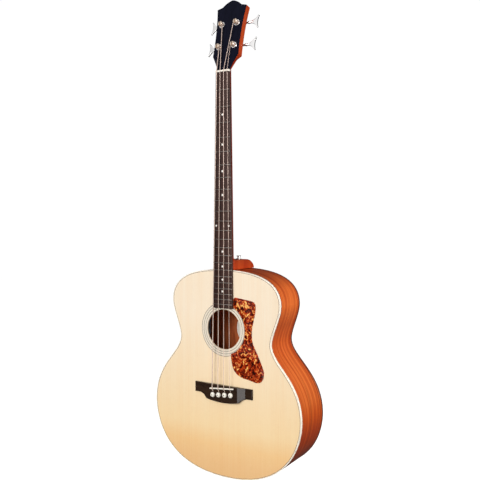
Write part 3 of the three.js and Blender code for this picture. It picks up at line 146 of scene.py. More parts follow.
bpy.ops.object.select_all(action="DESELECT")
bpy.ops.mesh.primitive_plane_add(size=16.0, location=(0.0, 0.0, floor_drop))
studio_floor = bpy.context.object
studio_floor.name = "studio_floor"
floor_paint = bpy.data.materials.new("floor_paint")
floor_paint.use_nodes = True
floor_tree = floor_paint.node_tree
floor_tree.nodes.clear()
floor_seen = place(floor_tree, "ShaderNodeLightPath").outputs["Is Camera Ray"]
floor_colour = place(floor_tree, "ShaderNodeMix", {
    "Factor": floor_seen, 6: shade(104, 103, 101), 7: shade(242, 242, 240),
}, data_type="RGBA")
floor_diffuse = place(floor_tree, "ShaderNodeBsdfDiffuse", {"Color": floor_colour.outputs[2]})
floor_glow = place(floor_tree, "ShaderNodeMath", {0: floor_seen, 1: 0.72}, operation="MULTIPLY")
floor_white = place(floor_tree, "ShaderNodeEmission", {"Color": white, "Strength": floor_glow.outputs[0]})
floor_both = place(floor_tree, "ShaderNodeAddShader", {
    0: floor_diffuse.outputs[0], 1: floor_white.outputs[0],
})
place(floor_tree, "ShaderNodeOutputMaterial", {0: floor_both.outputs[0]})
studio_floor.data.materials.append(floor_paint)


# Soundboard
# A thin two-piece plate of pale spruce with its fine grain upright, glued over the sides.
# It carries the round sound hole, and a clear gloss lacquer covers it.
body_top = -0.488
tail_place = -1.009
lower_bout = (0.22, -0.839)
waist = (0.1364, -0.664)
upper_bout = (0.1625, -0.571)
bend_reaches = ((0.187, 0.56), (0.26, 0.25), (0.3, 0.62))
tail_flatness = 0.936
neck_flatness = 0.72
sound_hole_place = -0.637
sound_hole_radius = 0.05
soundboard_thickness = 0.003
binding_width = 0.0024
cutter_reach = 0.01


def start_fresh():
    """Leaves edit mode and clears the selection, so that the next operator acts on its own piece."""
    if bpy.context.object is not None and bpy.context.object.mode != "OBJECT":
        bpy.ops.object.mode_set(mode="OBJECT")
    bpy.ops.object.select_all(action="DESELECT")


def take(piece):
    start_fresh()
    piece.select_set(True)
    bpy.context.view_layer.objects.active = piece


def open_for_edit(piece):
    """Opens a piece in edit mode with all of it selected."""
    take(piece)
    bpy.ops.object.mode_set(mode="EDIT")
    bpy.ops.mesh.select_mode(type="VERT")
    bpy.ops.mesh.select_all(action="SELECT")


def close_edit():
    bpy.ops.object.mode_set(mode="OBJECT")


def close_outward():
    """Turns every face outward and leaves edit mode."""
    bpy.ops.mesh.select_all(action="SELECT")
    bpy.ops.mesh.normals_make_consistent(inside=False)
    close_edit()


def keep_place():
    """Puts the new piece's place, turn and size into its mesh."""
    bpy.ops.object.transform_apply(location=True, rotation=True, scale=True)
    return bpy.context.object


def drawn_outline(points, resolution=12):
    """A closed curve in the plane of x and z through points of (place, handle before, handle after).
    A handle given as None makes that stretch straight. The curve ends as a loop of edges.
    The number of points is a multiple of four."""
    start_fresh()
    bpy.ops.curve.primitive_bezier_circle_add(radius=0.1, location=(0.0, 0.0, 0.0))
    outline = bpy.context.object
    outline.data.dimensions = "3D"
    bpy.ops.object.mode_set(mode="EDIT")
    bpy.ops.curve.select_all(action="SELECT")
    if len(points) > 4:
        bpy.ops.curve.subdivide(number_cuts=len(points) // 4 - 1)
    bpy.ops.object.mode_set(mode="OBJECT")
    knots = outline.data.splines[0].bezier_points
    for index, (spot, before, after) in enumerate(points):
        previous = points[index - 1][0]
        following = points[(index + 1) % len(points)][0]
        before = before or tuple(a + (b - a) / 3 for a, b in zip(spot, previous))
        after = after or tuple(a + (b - a) / 3 for a, b in zip(spot, following))
        knots[index].handle_left_type = "FREE"
        knots[index].handle_right_type = "FREE"
        knots[index].co = (spot[0], 0.0, spot[1])
        knots[index].handle_left = (before[0], 0.0, before[1])
        knots[index].handle_right = (after[0], 0.0, after[1])
    outline.data.resolution_u = resolution
    bpy.ops.object.convert(target="MESH")
    return bpy.context.object


def mirror_points(points):
    """The mirror image of points given from one side's first to its last, in reverse order."""
    def other(spot):
        return None if spot is None else (-spot[0], spot[1])
    return [(other(spot), other(after), other(before)) for spot, before, after in reversed(points)]


def body_outline():
    """The body's outline: tail, lower bout, waist, upper bout and neck end, alike on both sides."""
    bends = (lower_bout, waist, upper_bout)
    heights = (tail_place, *(bend[1] for bend in bends), body_top)
    right = []
    for index, ((across, height), (below, above)) in enumerate(zip(bends, bend_reaches)):
        right.append((
            (across, height),
            (across, height - below * (height - heights[index])),
            (across, height + above * (heights[index + 2] - height)),
        ))
    tail_reach = tail_flatness * lower_bout[0]
    neck_reach = neck_flatness * upper_bout[0]
    tail = ((0.0, tail_place), (-tail_reach, tail_place), (tail_reach, tail_place))
    neck_end = ((0.0, body_top), (neck_reach, body_top), (-neck_reach, body_top))
    return drawn_outline([tail, *right, neck_end, *mirror_points(right)], 20)


def push(distance, axis=1):
    """Extrudes what is selected along x, y or z."""
    step = [0.0, 0.0, 0.0]
    step[axis] = distance
    bpy.ops.mesh.extrude_region_move(TRANSFORM_OT_translate={"value": tuple(step)})


def draw_in(inset):
    """Draws the selected face in by inset and drops the strip outside it."""
    bpy.ops.mesh.inset(thickness=inset)
    bpy.ops.mesh.select_all(action="INVERT")
    bpy.ops.mesh.delete(type="VERT")
    bpy.ops.mesh.select_all(action="SELECT")


def outline_sheet(inset, thickness, front=0.0, outline=body_outline, ring_width=None):
    """A flat sheet, or a ring, inside an outline drawn in by inset, from front to front + thickness."""
    sheet = outline()
    open_for_edit(sheet)
    bpy.ops.mesh.edge_face_add()
    if inset > 0.0:
        draw_in(inset)
    if ring_width is not None:
        bpy.ops.mesh.inset(thickness=ring_width)
        bpy.ops.mesh.delete(type="ONLY_FACE")
        bpy.ops.mesh.select_all(action="SELECT")
    push(thickness)
    bpy.ops.mesh.select_all(action="SELECT")
    bpy.ops.transform.translate(value=(0.0, front, 0.0))
    close_outward()
    return sheet


def finish_modifier(piece, kind, **settings):
    """Adds a modifier with these settings and applies it."""
    take(piece)
    made = piece.modifiers.new(kind.lower(), kind)
    for name, value in settings.items():
        setattr(made, name, value)
    bpy.ops.object.modifier_apply(modifier=made.name)


def combine(piece, other, operation):
    """Cuts with, or melts in, a second piece, which is then gone."""
    finish_modifier(piece, "BOOLEAN", operation=operation, object=other, solver="EXACT")
    bpy.data.objects.remove(other)


def cut_away(piece, cutter):
    combine(piece, cutter, "DIFFERENCE")


def smooth(piece, angle=35.0):
    take(piece)
    bpy.ops.object.shade_smooth_by_angle(angle=math.radians(angle))


def round_bar(radius, front, back, height=0.0, sides=96):
    """A round bar along y, for cutting holes or as the start of a disc."""
    start_fresh()
    bpy.ops.mesh.primitive_cylinder_add(
        vertices=sides, radius=radius, depth=back - front,
        location=(0.0, (front + back) / 2, height), rotation=(math.pi / 2, 0.0, 0.0),
    )
    return keep_place()


def new_group(name, values, results):
    """A node group that takes a place and some values, and gives masks or shares from 0 to 1."""
    group = bpy.data.node_groups.new(name, "ShaderNodeTree")
    group.interface.new_socket("Place", in_out="INPUT", socket_type="NodeSocketVector")
    for socket, value in values:
        made = group.interface.new_socket(socket, in_out="INPUT", socket_type="NodeSocketFloat")
        made.default_value = value
    for socket in results:
        group.interface.new_socket(socket, in_out="OUTPUT", socket_type="NodeSocketFloat")
    return group, place(group, "NodeGroupInput").outputs


def clouds(tree, spot, scale, detail, low, high, most=1.0):
    """Noise spread so that its low value gives 0 and its high value gives most."""
    noise = place(tree, "ShaderNodeTexNoise", {"Vector": spot, "Scale": scale, "Detail": detail})
    return place(tree, "ShaderNodeMapRange", {
        "Value": noise.outputs[0], "From Min": low, "From Max": high, "To Max": most,
    }).outputs[0]


def grain_group():
    """Wood grain that runs along z: fine fibres, broad bands and short dark pores."""
    group, given = new_group(
        "wood_grain", (("Fibre", 900.0), ("Band", 60.0), ("Stretch", 40.0)), ("Fibres", "Bands", "Pores"),
    )
    along = place(group, "ShaderNodeMath", {0: 1.0, 1: given["Stretch"]}, operation="DIVIDE")
    squeeze = place(group, "ShaderNodeCombineXYZ", {"X": 1.0, "Y": 1.0, "Z": along.outputs[0]})
    drawn = place(group, "ShaderNodeVectorMath", {
        0: given["Place"], 1: squeeze.outputs[0],
    }, operation="MULTIPLY").outputs[0]
    fibres = place(group, "ShaderNodeTexNoise", {
        "Vector": drawn, "Scale": given["Fibre"], "Detail": 4.0, "Roughness": 0.6,
    })
    bands = place(group, "ShaderNodeTexNoise", {
        "Vector": drawn, "Scale": given["Band"], "Detail": 3.0, "Roughness": 0.55, "Distortion": 0.3,
    })
    pore_scale = place(group, "ShaderNodeMath", {0: given["Fibre"], 1: 0.7}, operation="MULTIPLY")
    pores = clouds(group, drawn, pore_scale.outputs[0], 1.0, 0.6, 0.7)
    place(group, "NodeGroupOutput", {"Fibres": fibres.outputs[0], "Bands": bands.outputs[0], "Pores": pores})
    return group


def polish_group():
    """How a polished or worn surface varies: soft smudges between two roughnesses, and fine dust."""
    group, given = new_group("polish_marks", (("Smooth", 0.1), ("Dull", 0.3)), ("Roughness", "Dust"))
    smudge = place(group, "ShaderNodeTexNoise", {
        "Vector": given["Place"], "Scale": 22.0, "Detail": 5.0, "Roughness": 0.65,
    })
    spread = place(group, "ShaderNodeMapRange", {
        "Value": smudge.outputs[0], "From Min": 0.3, "From Max": 0.75,
        "To Min": given["Smooth"], "To Max": given["Dull"],
    })
    dust = clouds(group, given["Place"], 900.0, 2.0, 0.55, 0.75)
    place(group, "NodeGroupOutput", {"Roughness": spread.outputs[0], "Dust": dust})
    return group


wood_grain = grain_group()
polish_marks = polish_group()


def new_finish(name):
    """An empty material: its node tree, its place on the piece and its shader."""
    finish = bpy.data.materials.new(name)
    finish.use_nodes = True
    tree = finish.node_tree
    tree.nodes.clear()
    spot = place(tree, "ShaderNodeTexCoord").outputs["Object"]
    shader = place(tree, "ShaderNodeBsdfPrincipled")
    place(tree, "ShaderNodeOutputMaterial", {0: shader.outputs[0]})
    return finish, tree, spot, shader


def blend_colour(tree, share, first, second, way="MIX"):
    return place(tree, "ShaderNodeMix", {
        "Factor": share, 6: first, 7: second,
    }, data_type="RGBA", blend_type=way).outputs[2]


def colour_ramp(tree, share, stops, steps="LINEAR"):
    """The colours of a row of stops, each a place from 0 to 1 and a colour in picture values."""
    made = place(tree, "ShaderNodeValToRGB", {0: share})
    ramp = made.color_ramp
    ramp.interpolation = steps
    for index, (spot, colour) in enumerate(stops):
        stop = ramp.elements[index] if index < 2 else ramp.elements.new(spot)
        stop.position = spot
        stop.color = shade(*colour)
    return made.outputs[0]


def paint(tree, shader, spot, colour, polish):
    """Gives a shader its colour and a smudged roughness between polish's two, and returns the dust."""
    marks = place(tree, "ShaderNodeGroup", {
        "Place": spot, "Smooth": polish[0], "Dull": polish[1],
    }, node_tree=polish_marks)
    tree.links.new(colour, shader.inputs["Base Color"])
    tree.links.new(marks.outputs["Roughness"], shader.inputs["Roughness"])
    return marks.outputs["Dust"]


def emboss(tree, shader, height, strength, distance):
    bump = place(tree, "ShaderNodeBump", {"Strength": strength, "Distance": distance, "Height": height})
    tree.links.new(bump.outputs[0], shader.inputs["Normal"])


def wood_finish(
    name, colours, fibre, band, stretch, polish, pore_share,
    coat=0.0, specular=0.12, turn=(0.0, 0.0, 0.0), spot=None,
):
    """Wood with its grain along z, or along the turned z, in two tones with darker pores."""
    finish, tree, own_spot, shader = new_finish(name)
    light, dark, pore = (shade(*colour) for colour in colours)
    turned = place(tree, "ShaderNodeMapping", {"Vector": spot(tree) if spot else own_spot, "Rotation": turn})
    grain = place(tree, "ShaderNodeGroup", {
        "Place": turned.outputs[0], "Fibre": fibre, "Band": band, "Stretch": stretch,
    }, node_tree=wood_grain).outputs
    tone = place(tree, "ShaderNodeMath", {0: grain["Fibres"], 1: grain["Bands"]}, operation="ADD")
    spread = place(tree, "ShaderNodeMapRange", {
        "Value": tone.outputs[0], "From Min": 0.72, "From Max": 1.28,
    })
    ground = blend_colour(tree, spread.outputs[0], light, dark)
    hollow = place(tree, "ShaderNodeMath", {0: grain["Pores"], 1: pore_share}, operation="MULTIPLY")
    paint(tree, shader, own_spot, blend_colour(tree, hollow.outputs[0], ground, pore), polish)
    emboss(tree, shader, grain["Fibres"], 0.12, 0.0003)
    shader.inputs["Coat Weight"].default_value = coat
    shader.inputs["Coat Roughness"].default_value = 0.08
    shader.inputs["Specular IOR Level"].default_value = specular
    return finish


def tint_along(finish, axis, stops):
    """Multiplies a finish's colour by tints that change from place to place along x or z."""
    tree = finish.node_tree
    shader = next(node for node in tree.nodes if node.type == "BSDF_PRINCIPLED")
    plain = shader.inputs["Base Color"].links[0].from_socket
    own_place = place(tree, "ShaderNodeTexCoord").outputs["Object"]
    parts = place(tree, "ShaderNodeSeparateXYZ", {0: own_place})
    low, high = stops[0][0], stops[-1][0]
    share = place(tree, "ShaderNodeMapRange", {
        "Value": parts.outputs[axis], "From Min": low, "From Max": high,
    })
    tints = colour_ramp(tree, share.outputs[0], [((spot - low) / (high - low), tint) for spot, tint in stops])
    tree.links.new(blend_colour(tree, 1.0, plain, tints, "MULTIPLY"), shader.inputs["Base Color"])


def dress(piece, name, finish, body="guitar", nodes=()):
    """Names a finished piece, gives it its finish and body, and says which CAD nodes it stands for."""
    piece.name = name
    piece.data.name = name
    piece.data.materials.clear()
    piece.data.materials.append(finish)
    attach(piece, body)
    if nodes:
        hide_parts(*nodes)


soundboard = outline_sheet(binding_width, soundboard_thickness)
cut_away(soundboard, round_bar(sound_hole_radius, -cutter_reach, cutter_reach, sound_hole_place))
smooth(soundboard)
spruce = wood_finish(
    "lacquered_spruce", ((255, 240, 217), (253, 232, 204), (245, 216, 180)),
    fibre=420.0, band=34.0, stretch=60.0, polish=(0.22, 0.36), pore_share=0.15, coat=0.06,
)
# Painted shade: the soundboard's colour is darkened and warmed toward the tail, standing in for the light
# falling off there.
tint_along(spruce, "Z", (
    (-1.01, (243, 212, 170)), (-0.97, (247, 217, 176)), (-0.93, (252, 226, 184)),
    (-0.885, (255, 242, 213)), (-0.6, (255, 255, 255)),
))
dress(soundboard, "soundboard_plate", spruce, nodes=["soundboard"])


# Binding and purfling
# A white plastic strip glued round the body's front edge, and a dark stained one round the back.
# Each wraps its corner, 2.4 mm wide on the face and 6 mm deep on the side, and a thin dark line
# is let in beside the white one.
binding_depth = 0.006
binding_edge = 0.0006
line_width = 0.0008
line_inset = 0.0004
line_front = -0.00008
line_depth = 0.0006
back_depth_at_neck = 0.093
back_depth_at_tail = 0.1245
back_slope = (back_depth_at_tail - back_depth_at_neck) / (body_top - tail_place)


def plastic_finish(name, colour, other, polish, coat=0.3, scale=60.0):
    """A moulded or cast plastic with faint clouding in its colour."""
    finish, tree, spot, shader = new_finish(name)
    tone = blend_colour(tree, clouds(tree, spot, scale, 4.0, 0.35, 0.7), shade(*colour), shade(*other))
    emboss(tree, shader, paint(tree, shader, spot, tone, polish), 0.05, 0.0002)
    shader.inputs["Coat Weight"].default_value = coat
    shader.inputs["Coat Roughness"].default_value = 0.1
    return finish


def soften(piece, width, segments=2, angle=35.0):
    finish_modifier(
        piece, "BEVEL", width=width, segments=segments,
        limit_method="ANGLE", angle_limit=math.radians(angle),
    )


def settle(piece, matrix):
    """Puts a piece where a matrix says, and keeps that place in its mesh."""
    piece.matrix_world = matrix
    take(piece)
    return keep_place()


def to_back_plane(piece):
    """Leans a flat piece onto the back's sloping plane, drawn out so that its outline still fits."""
    lean = math.atan(back_slope)
    settle(piece, (
        Matrix.Translation((0.0, back_depth_at_neck, body_top))
        @ Matrix.Rotation(lean, 4, "X")
        @ Matrix.Scale(1.0 / math.cos(lean), 4, (0.0, 0.0, 1.0))
        @ Matrix.Translation((0.0, 0.0, -body_top))
    ))


ivory_plastic = plastic_finish("ivory_binding", (255, 248, 236), (248, 238, 220), (0.2, 0.35))
dark_line = plastic_finish("dark_purfling", (96, 84, 72), (120, 106, 92), (0.3, 0.45))
edge_stain = plastic_finish("stained_edge_strip", (104, 42, 24), (70, 26, 16), (0.3, 0.45))

front_binding = outline_sheet(0.0, binding_depth, ring_width=binding_width)
soften(front_binding, binding_edge)
smooth(front_binding)
dress(front_binding, "front_binding_strip", ivory_plastic, nodes=["front_binding"])

back_binding = outline_sheet(0.0, binding_depth, -binding_depth, ring_width=binding_width)
soften(back_binding, binding_edge)
to_back_plane(back_binding)
smooth(back_binding)
dress(back_binding, "back_binding_strip", edge_stain, nodes=["back_binding"])

front_line = outline_sheet(binding_width + line_inset, line_depth, line_front, ring_width=line_width)
smooth(front_line)
dress(front_line, "front_purfling", dark_line)


# Sides
# Two thin boards of red-brown mahogany, bent hot to the outline and glued to the blocks.
# Their grain follows the bends, and they meet at the tail and under the neck's heel.
side_start = binding_depth + 0.0002
side_thickness = 0.0024
side_joint_half = 0.0001
wall_rows = 4
wall_row = 0.03


def bent_wall():
    """The whole rim as one wall, cut to the back's slope, with its run along the bends stored on it."""
    wall = body_outline()
    vertices = wall.data.vertices
    run = wall.data.attributes.new("run", "FLOAT", "POINT")
    reach = 0.0
    reaches = [0.0]
    for index in range(1, len(vertices)):
        reach += (vertices[index].co - vertices[index - 1].co).length
        reaches.append(reach)
    for index, value in enumerate(reaches):
        run.data[index].value = min(value, reach - value)
    open_for_edit(wall)
    bpy.ops.transform.translate(value=(0.0, side_start, 0.0))
    for _ in range(wall_rows):
        push(wall_row)
    bpy.ops.mesh.select_all(action="SELECT")
    bpy.ops.mesh.bisect(
        plane_co=(0.0, back_depth_at_neck - side_start, body_top), plane_no=(0.0, 1.0, back_slope),
        clear_outer=True,
    )
    close_outward()
    return wall


def bend_run(tree):
    """Grain places for a bent board: across it, and along its bends."""
    run = place(tree, "ShaderNodeAttribute", attribute_name="run")
    own_place = place(tree, "ShaderNodeTexCoord").outputs["Object"]
    parts = place(tree, "ShaderNodeSeparateXYZ", {0: own_place})
    side_of = place(tree, "ShaderNodeMath", {0: parts.outputs["X"]}, operation="SIGN")
    return place(tree, "ShaderNodeCombineXYZ", {
        "X": parts.outputs["Y"], "Y": side_of.outputs[0], "Z": run.outputs["Fac"],
    }).outputs[0]


side_mahogany = wood_finish(
    "side_mahogany", ((242, 128, 58), (172, 58, 20), (100, 26, 9)),
    fibre=170.0, band=120.0, stretch=90.0, polish=(0.26, 0.4), pore_share=0.85, spot=bend_run,
)
# Painted light and shade: the sides are darkened toward the tail, at the waist and at the shoulder by the
# neck, and left lightest on the upper bout and above the lower bout.
tint_along(side_mahogany, "Z", (
    (-0.99, (96, 70, 60)), (-0.94, (142, 110, 94)), (-0.915, (168, 132, 110)), (-0.875, (190, 152, 136)),
    (-0.835, (222, 198, 172)), (-0.8, (238, 242, 242)), (-0.74, (248, 252, 255)), (-0.67, (234, 222, 222)),
    (-0.62, (218, 208, 222)), (-0.57, (252, 255, 255)), (-0.53, (238, 232, 228)), (-0.49, (182, 158, 162)),
))
for side_name, sign in (("bass", -1), ("treble", 1)):
    rim = bent_wall()
    open_for_edit(rim)
    bpy.ops.mesh.bisect(
        plane_co=(sign * side_joint_half, 0.0, 0.0), plane_no=(sign, 0.0, 0.0), clear_inner=True,
    )
    close_edit()
    finish_modifier(rim, "SOLIDIFY", thickness=side_thickness, offset=-1.0)
    smooth(rim)
    dress(rim, f"{side_name}_side", side_mahogany, nodes=[f"side_{side_name}"])


# Back
# A thin arched plate of the same mahogany, glued over the linings and its three braces.
# Its grain runs upright, and it rises evenly from its edge to a low crown in the middle.
back_thickness = 0.003
back_arch = 0.006
arch_centre = (0.0, 0.0, tail_place + 0.25)
arch_shares = (0.93, 0.85, 0.75, 0.62, 0.48, 0.32, 0.15)

arched_back = body_outline()
open_for_edit(arched_back)
bpy.ops.mesh.edge_face_add()
draw_in(binding_width)
bpy.ops.mesh.delete(type="ONLY_FACE")
bpy.ops.mesh.select_all(action="SELECT")
last_share = 1.0
for share in arch_shares:
    push(back_arch * (last_share ** 2 - share ** 2))
    shrink = share / last_share
    bpy.ops.transform.resize(value=(shrink, 1.0, shrink), center_override=arch_centre)
    last_share = share
push(back_arch * last_share ** 2)
bpy.ops.mesh.merge(type="CENTER")
close_outward()
if arched_back.data.polygons[0].normal.y < 0:
    open_for_edit(arched_back)
    bpy.ops.mesh.flip_normals()
    close_edit()
finish_modifier(arched_back, "SOLIDIFY", thickness=back_thickness, offset=-1.0)
to_back_plane(arched_back)
smooth(arched_back, 30.0)
back_mahogany = wood_finish(
    "back_mahogany", ((214, 124, 76), (182, 88, 48), (140, 62, 34)),
    fibre=260.0, band=34.0, stretch=60.0, polish=(0.26, 0.4), pore_share=0.4,
)
dress(arched_back, "arched_back", back_mahogany, nodes=["back_plate"])


# Rosette
# Three broad cream rings with thin dark lines between them, let into the soundboard.
# The innermost ring reaches the sound hole's edge, and a dark line closes the outermost one.
rosette_inner = 0.0502
rosette_outer = 0.0678
rosette_front, rosette_back = -0.0001, 0.0008
rosette_start, rosette_end = 0.05, 0.068
rosette_rings = (
    (rosette_start, (250, 240, 222)), (0.0548, (96, 84, 72)), (0.0557, (248, 238, 220)),
    (0.0608, (96, 84, 72)), (0.0617, (248, 238, 220)), (0.0668, (96, 82, 70)),
)

rosette = round_bar(rosette_outer, rosette_front, rosette_back, sound_hole_place, 160)
cut_away(rosette, round_bar(rosette_inner, -cutter_reach, cutter_reach, sound_hole_place, 160))
smooth(rosette)

rosette_strips, tree, spot, shader = new_finish("rosette_strips")
centred = place(tree, "ShaderNodeMapping", {
    "Vector": spot, "Location": (0.0, 0.0, -sound_hole_place), "Scale": (1.0, 0.0, 1.0),
})
radius = place(tree, "ShaderNodeVectorMath", {0: centred.outputs[0]}, operation="LENGTH")
ring_share = place(tree, "ShaderNodeMapRange", {
    "Value": radius.outputs["Value"], "From Min": rosette_start, "From Max": rosette_end,
})
rings = colour_ramp(tree, ring_share.outputs[0], [
    ((reach - rosette_start) / (rosette_end - rosette_start), colour) for reach, colour in rosette_rings
], "CONSTANT")
ageing = clouds(tree, spot, 500.0, 3.0, 0.3, 0.7, 0.18)
paint(tree, shader, spot, blend_colour(tree, ageing, rings, shade(150, 120, 80), "MULTIPLY"), (0.1, 0.3))
shader.inputs["Coat Weight"].default_value = 0.3
dress(rosette, "rosette_rings", rosette_strips, nodes=["rosette"])


# Paper label
# An oval of plain paper glued to the inside of the back, seen through the sound hole.
# It carries no print.
label_half_width = 0.031
label_half_height = 0.04
label_thickness = 0.0004
label_place = -0.650
label_depth = 0.1035

label = round_bar(1.0, 0.0, label_thickness)
open_for_edit(label)
bpy.ops.transform.resize(value=(label_half_width, 1.0, label_half_height))
bpy.ops.transform.translate(value=(0.0, label_depth, label_place))
close_edit()

paper, tree, spot, shader = new_finish("label_paper")
sheet_colour = blend_colour(
    tree, clouds(tree, spot, 700.0, 5.0, 0.3, 0.7), shade(255, 250, 240), shade(244, 236, 222),
)
tree.links.new(sheet_colour, shader.inputs["Base Color"])
shader.inputs["Roughness"].default_value = 0.85
dress(label, "paper_label", paper, nodes=["label"])


# Wood inside the body
# Spruce braces, blocks and linings of plain unfinished wood, as they are in the CAD.
# They show only through the sound hole, so their solids stay and get a sawn-wood finish.
def finish_nodes(finish, *names):
    """Gives CAD nodes that stay in sight a finish of their own."""
    for name in names:
        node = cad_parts[name]
        node.data.materials.clear()
        node.data.materials.append(finish)


plain_wood = wood_finish(
    "sawn_plain_wood", ((214, 172, 118), (190, 142, 90), (140, 98, 60)),
    fibre=300.0, band=40.0, stretch=14.0, polish=(0.6, 0.8), pore_share=0.4,
)
finish_nodes(
    plain_wood, "neck_block", "tail_block", "front_lining_bass", "front_lining_treble",
    "back_lining_bass", "back_lining_treble", "x_brace_bass", "x_brace_treble", "upper_brace",
    "tone_bar", "bridge_plate", "back_brace_1", "back_brace_2", "back_brace_3",
)


# Pickguard
# A thin sheet of mottled tortoiseshell plastic, glued beside the rosette and cut round it.
# Its upper left corner is cut straight where it meets the fretboard's edge.
guard_left, guard_right = 0.022, 0.118
guard_low, guard_high = -0.759, -0.557
guard_front, guard_back = -0.0016, -0.0002
guard_hole_radius = 0.063
guard_board_gap = 0.0003
guard_shares = (
    (0.05, 0.9), (0.1, 1.0), (0.25, 1.0), (0.42, 0.99), (0.7, 0.965), (0.75, 0.88), (0.69, 0.74),
    (0.64, 0.62), (0.66, 0.48), (0.82, 0.33), (0.96, 0.19), (1.0, 0.11), (0.94, 0.03), (0.8, 0.0),
    (0.55, 0.02), (0.32, 0.04), (0.14, 0.09), (0.04, 0.18), (0.0, 0.34), (0.02, 0.6),
)
board_length = 0.584
board_half_at_nut = 0.0202
board_half_at_end = 0.0294


def block(low, high):
    """A block between two corners, with its place in its mesh."""
    start_fresh()
    middle = [(a + b) / 2 for a, b in zip(low, high)]
    bpy.ops.mesh.primitive_cube_add(size=1.0, location=middle, scale=[b - a for a, b in zip(low, high)])
    return keep_place()


def guard_outline():
    """A smooth loop through the guard's places, each with handles that run through it evenly."""
    spots = [
        (guard_left + across * (guard_right - guard_left), guard_low + up * (guard_high - guard_low))
        for across, up in guard_shares
    ]
    points = []
    for index, spot in enumerate(spots):
        before = spots[index - 1]
        after = spots[(index + 1) % len(spots)]
        along = ((after[0] - before[0]) / 6, (after[1] - before[1]) / 6)
        points.append((
            spot, (spot[0] - along[0], spot[1] - along[1]), (spot[0] + along[0], spot[1] + along[1]),
        ))
    return drawn_outline(points, 10)


pickguard = outline_sheet(0.0, guard_back - guard_front, guard_front, guard_outline)
cut_away(pickguard, round_bar(guard_hole_radius, -cutter_reach, cutter_reach, sound_hole_place, 160))
clear_half = board_half_at_end + guard_board_gap
cut_away(pickguard, block((-clear_half, -cutter_reach, -board_length), (clear_half, cutter_reach, body_top)))
soften(pickguard, 0.0004)
smooth(pickguard)

tortoiseshell, tree, spot, shader = new_finish("tortoiseshell")
mottle = place(tree, "ShaderNodeTexNoise", {
    "Vector": spot, "Scale": 105.0, "Detail": 3.0, "Roughness": 0.6, "Distortion": 1.2,
})
shell_colour = colour_ramp(tree, mottle.outputs[0], (
    (0.4, (42, 8, 4)), (0.5, (156, 42, 13)), (0.575, (204, 72, 22)), (0.64, (255, 200, 110)),
))
paint(tree, shader, spot, shell_colour, (0.08, 0.2))
shader.inputs["Specular IOR Level"].default_value = 0.16
dress(pickguard, "tortoiseshell_guard", tortoiseshell, nodes=["pickguard"])


# Bridge
# A block of dark rosewood glued to the soundboard: thick in the middle, with scooped thin wings
# and a rounded belly below. It holds the saddle and four tapered pins.
bridge_top = -0.7764
bridge_half = 0.0865
bridge_wing = 0.0256
bridge_cove = 0.07
bridge_cove_turn = (0.056, 0.0282)
bridge_belly = 0.05
bridge_corner = 0.0372
bridge_length = 0.0428
bridge_front, bridge_back = -0.0092, -0.0002
bridge_wing_front = -0.0042
scoop_start, scoop_end = 0.046, 0.066
bridge_overrun = 0.004
bridge_bar_length, bridge_bar_drop = 0.08, 0.06
bridge_slope = 0.09
saddle_place = -0.7835
saddle_slot_low, saddle_slot_high = (-0.0362, -0.02, -0.0018), (0.0362, -0.0042, 0.0018)


def bent(start, corner, end):
    """The two handles of a curve that starts toward a corner and ends coming from it."""
    return (
        tuple(a + (b - a) * 2 / 3 for a, b in zip(start, corner)),
        tuple(a + (b - a) * 2 / 3 for a, b in zip(end, corner)),
    )


def bridge_outline():
    wing_low = bridge_top - bridge_wing
    corner = (bridge_belly, bridge_top - bridge_corner)
    lowest = (0.0, bridge_top - bridge_length)
    cove = bent((bridge_cove, wing_low), (bridge_cove_turn[0], bridge_top - bridge_cove_turn[1]), corner)
    belly = bent(corner, (bridge_belly / 2, lowest[1]), lowest)
    right = [
        (corner, belly[0], cove[1]),
        ((bridge_cove, wing_low), cove[0], None),
        ((bridge_half, wing_low), None, None),
        ((bridge_half, bridge_top), None, None),
        ((bridge_half / 2, bridge_top), None, None),
    ]
    low = (lowest, (-belly[1][0], belly[1][1]), belly[1])
    high = ((0.0, bridge_top), None, None)
    return drawn_outline([low, *right, high, *mirror_points(right)])


def bridge_view():
    """The bridge seen from above, with its front at the top of the drawing."""
    right = [
        ((bridge_half + bridge_overrun, -bridge_back), None, None),
        ((bridge_half + bridge_overrun, -bridge_wing_front), None, None),
        ((scoop_end, -bridge_wing_front), None, None),
        ((scoop_start, -bridge_front), None, None),
    ]
    return drawn_outline([*right, *mirror_points(right)])


slab_depth = bridge_back - bridge_front + bridge_overrun
bridge = outline_sheet(0.0, slab_depth, bridge_front - bridge_overrun / 2, bridge_outline)
bridge_bar = outline_sheet(0.0, bridge_bar_length, 0.0, bridge_view)
bridge_bar.rotation_euler = (math.pi / 2, 0.0, 0.0)
bridge_bar.location = (0.0, 0.0, bridge_top - bridge_bar_drop)
take(bridge_bar)
keep_place()
combine(bridge, bridge_bar, "INTERSECT")
open_for_edit(bridge)
bpy.ops.mesh.remove_doubles(threshold=0.0003)
bpy.ops.mesh.dissolve_limited(angle_limit=0.02)
close_edit()
soften(bridge, 0.0009, 3)
saddle_turn = Matrix.Translation((0.0, 0.0, saddle_place)) @ Matrix.Rotation(-math.atan(bridge_slope), 4, "Y")
saddle_slot = block(saddle_slot_low, saddle_slot_high)
saddle_slot.matrix_world = saddle_turn
cut_away(bridge, saddle_slot)
smooth(bridge, 10.0)

bridge_rosewood = wood_finish(
    "bridge_rosewood", ((56, 39, 28), (40, 26, 18), (22, 14, 10)), fibre=330.0, band=50.0, stretch=26.0,
    polish=(0.2, 0.3), pore_share=0.5, coat=0.2, turn=(0.0, math.pi / 2, 0.0),
)
dress(bridge, "pin_bridge", bridge_rosewood, nodes=["bridge"])


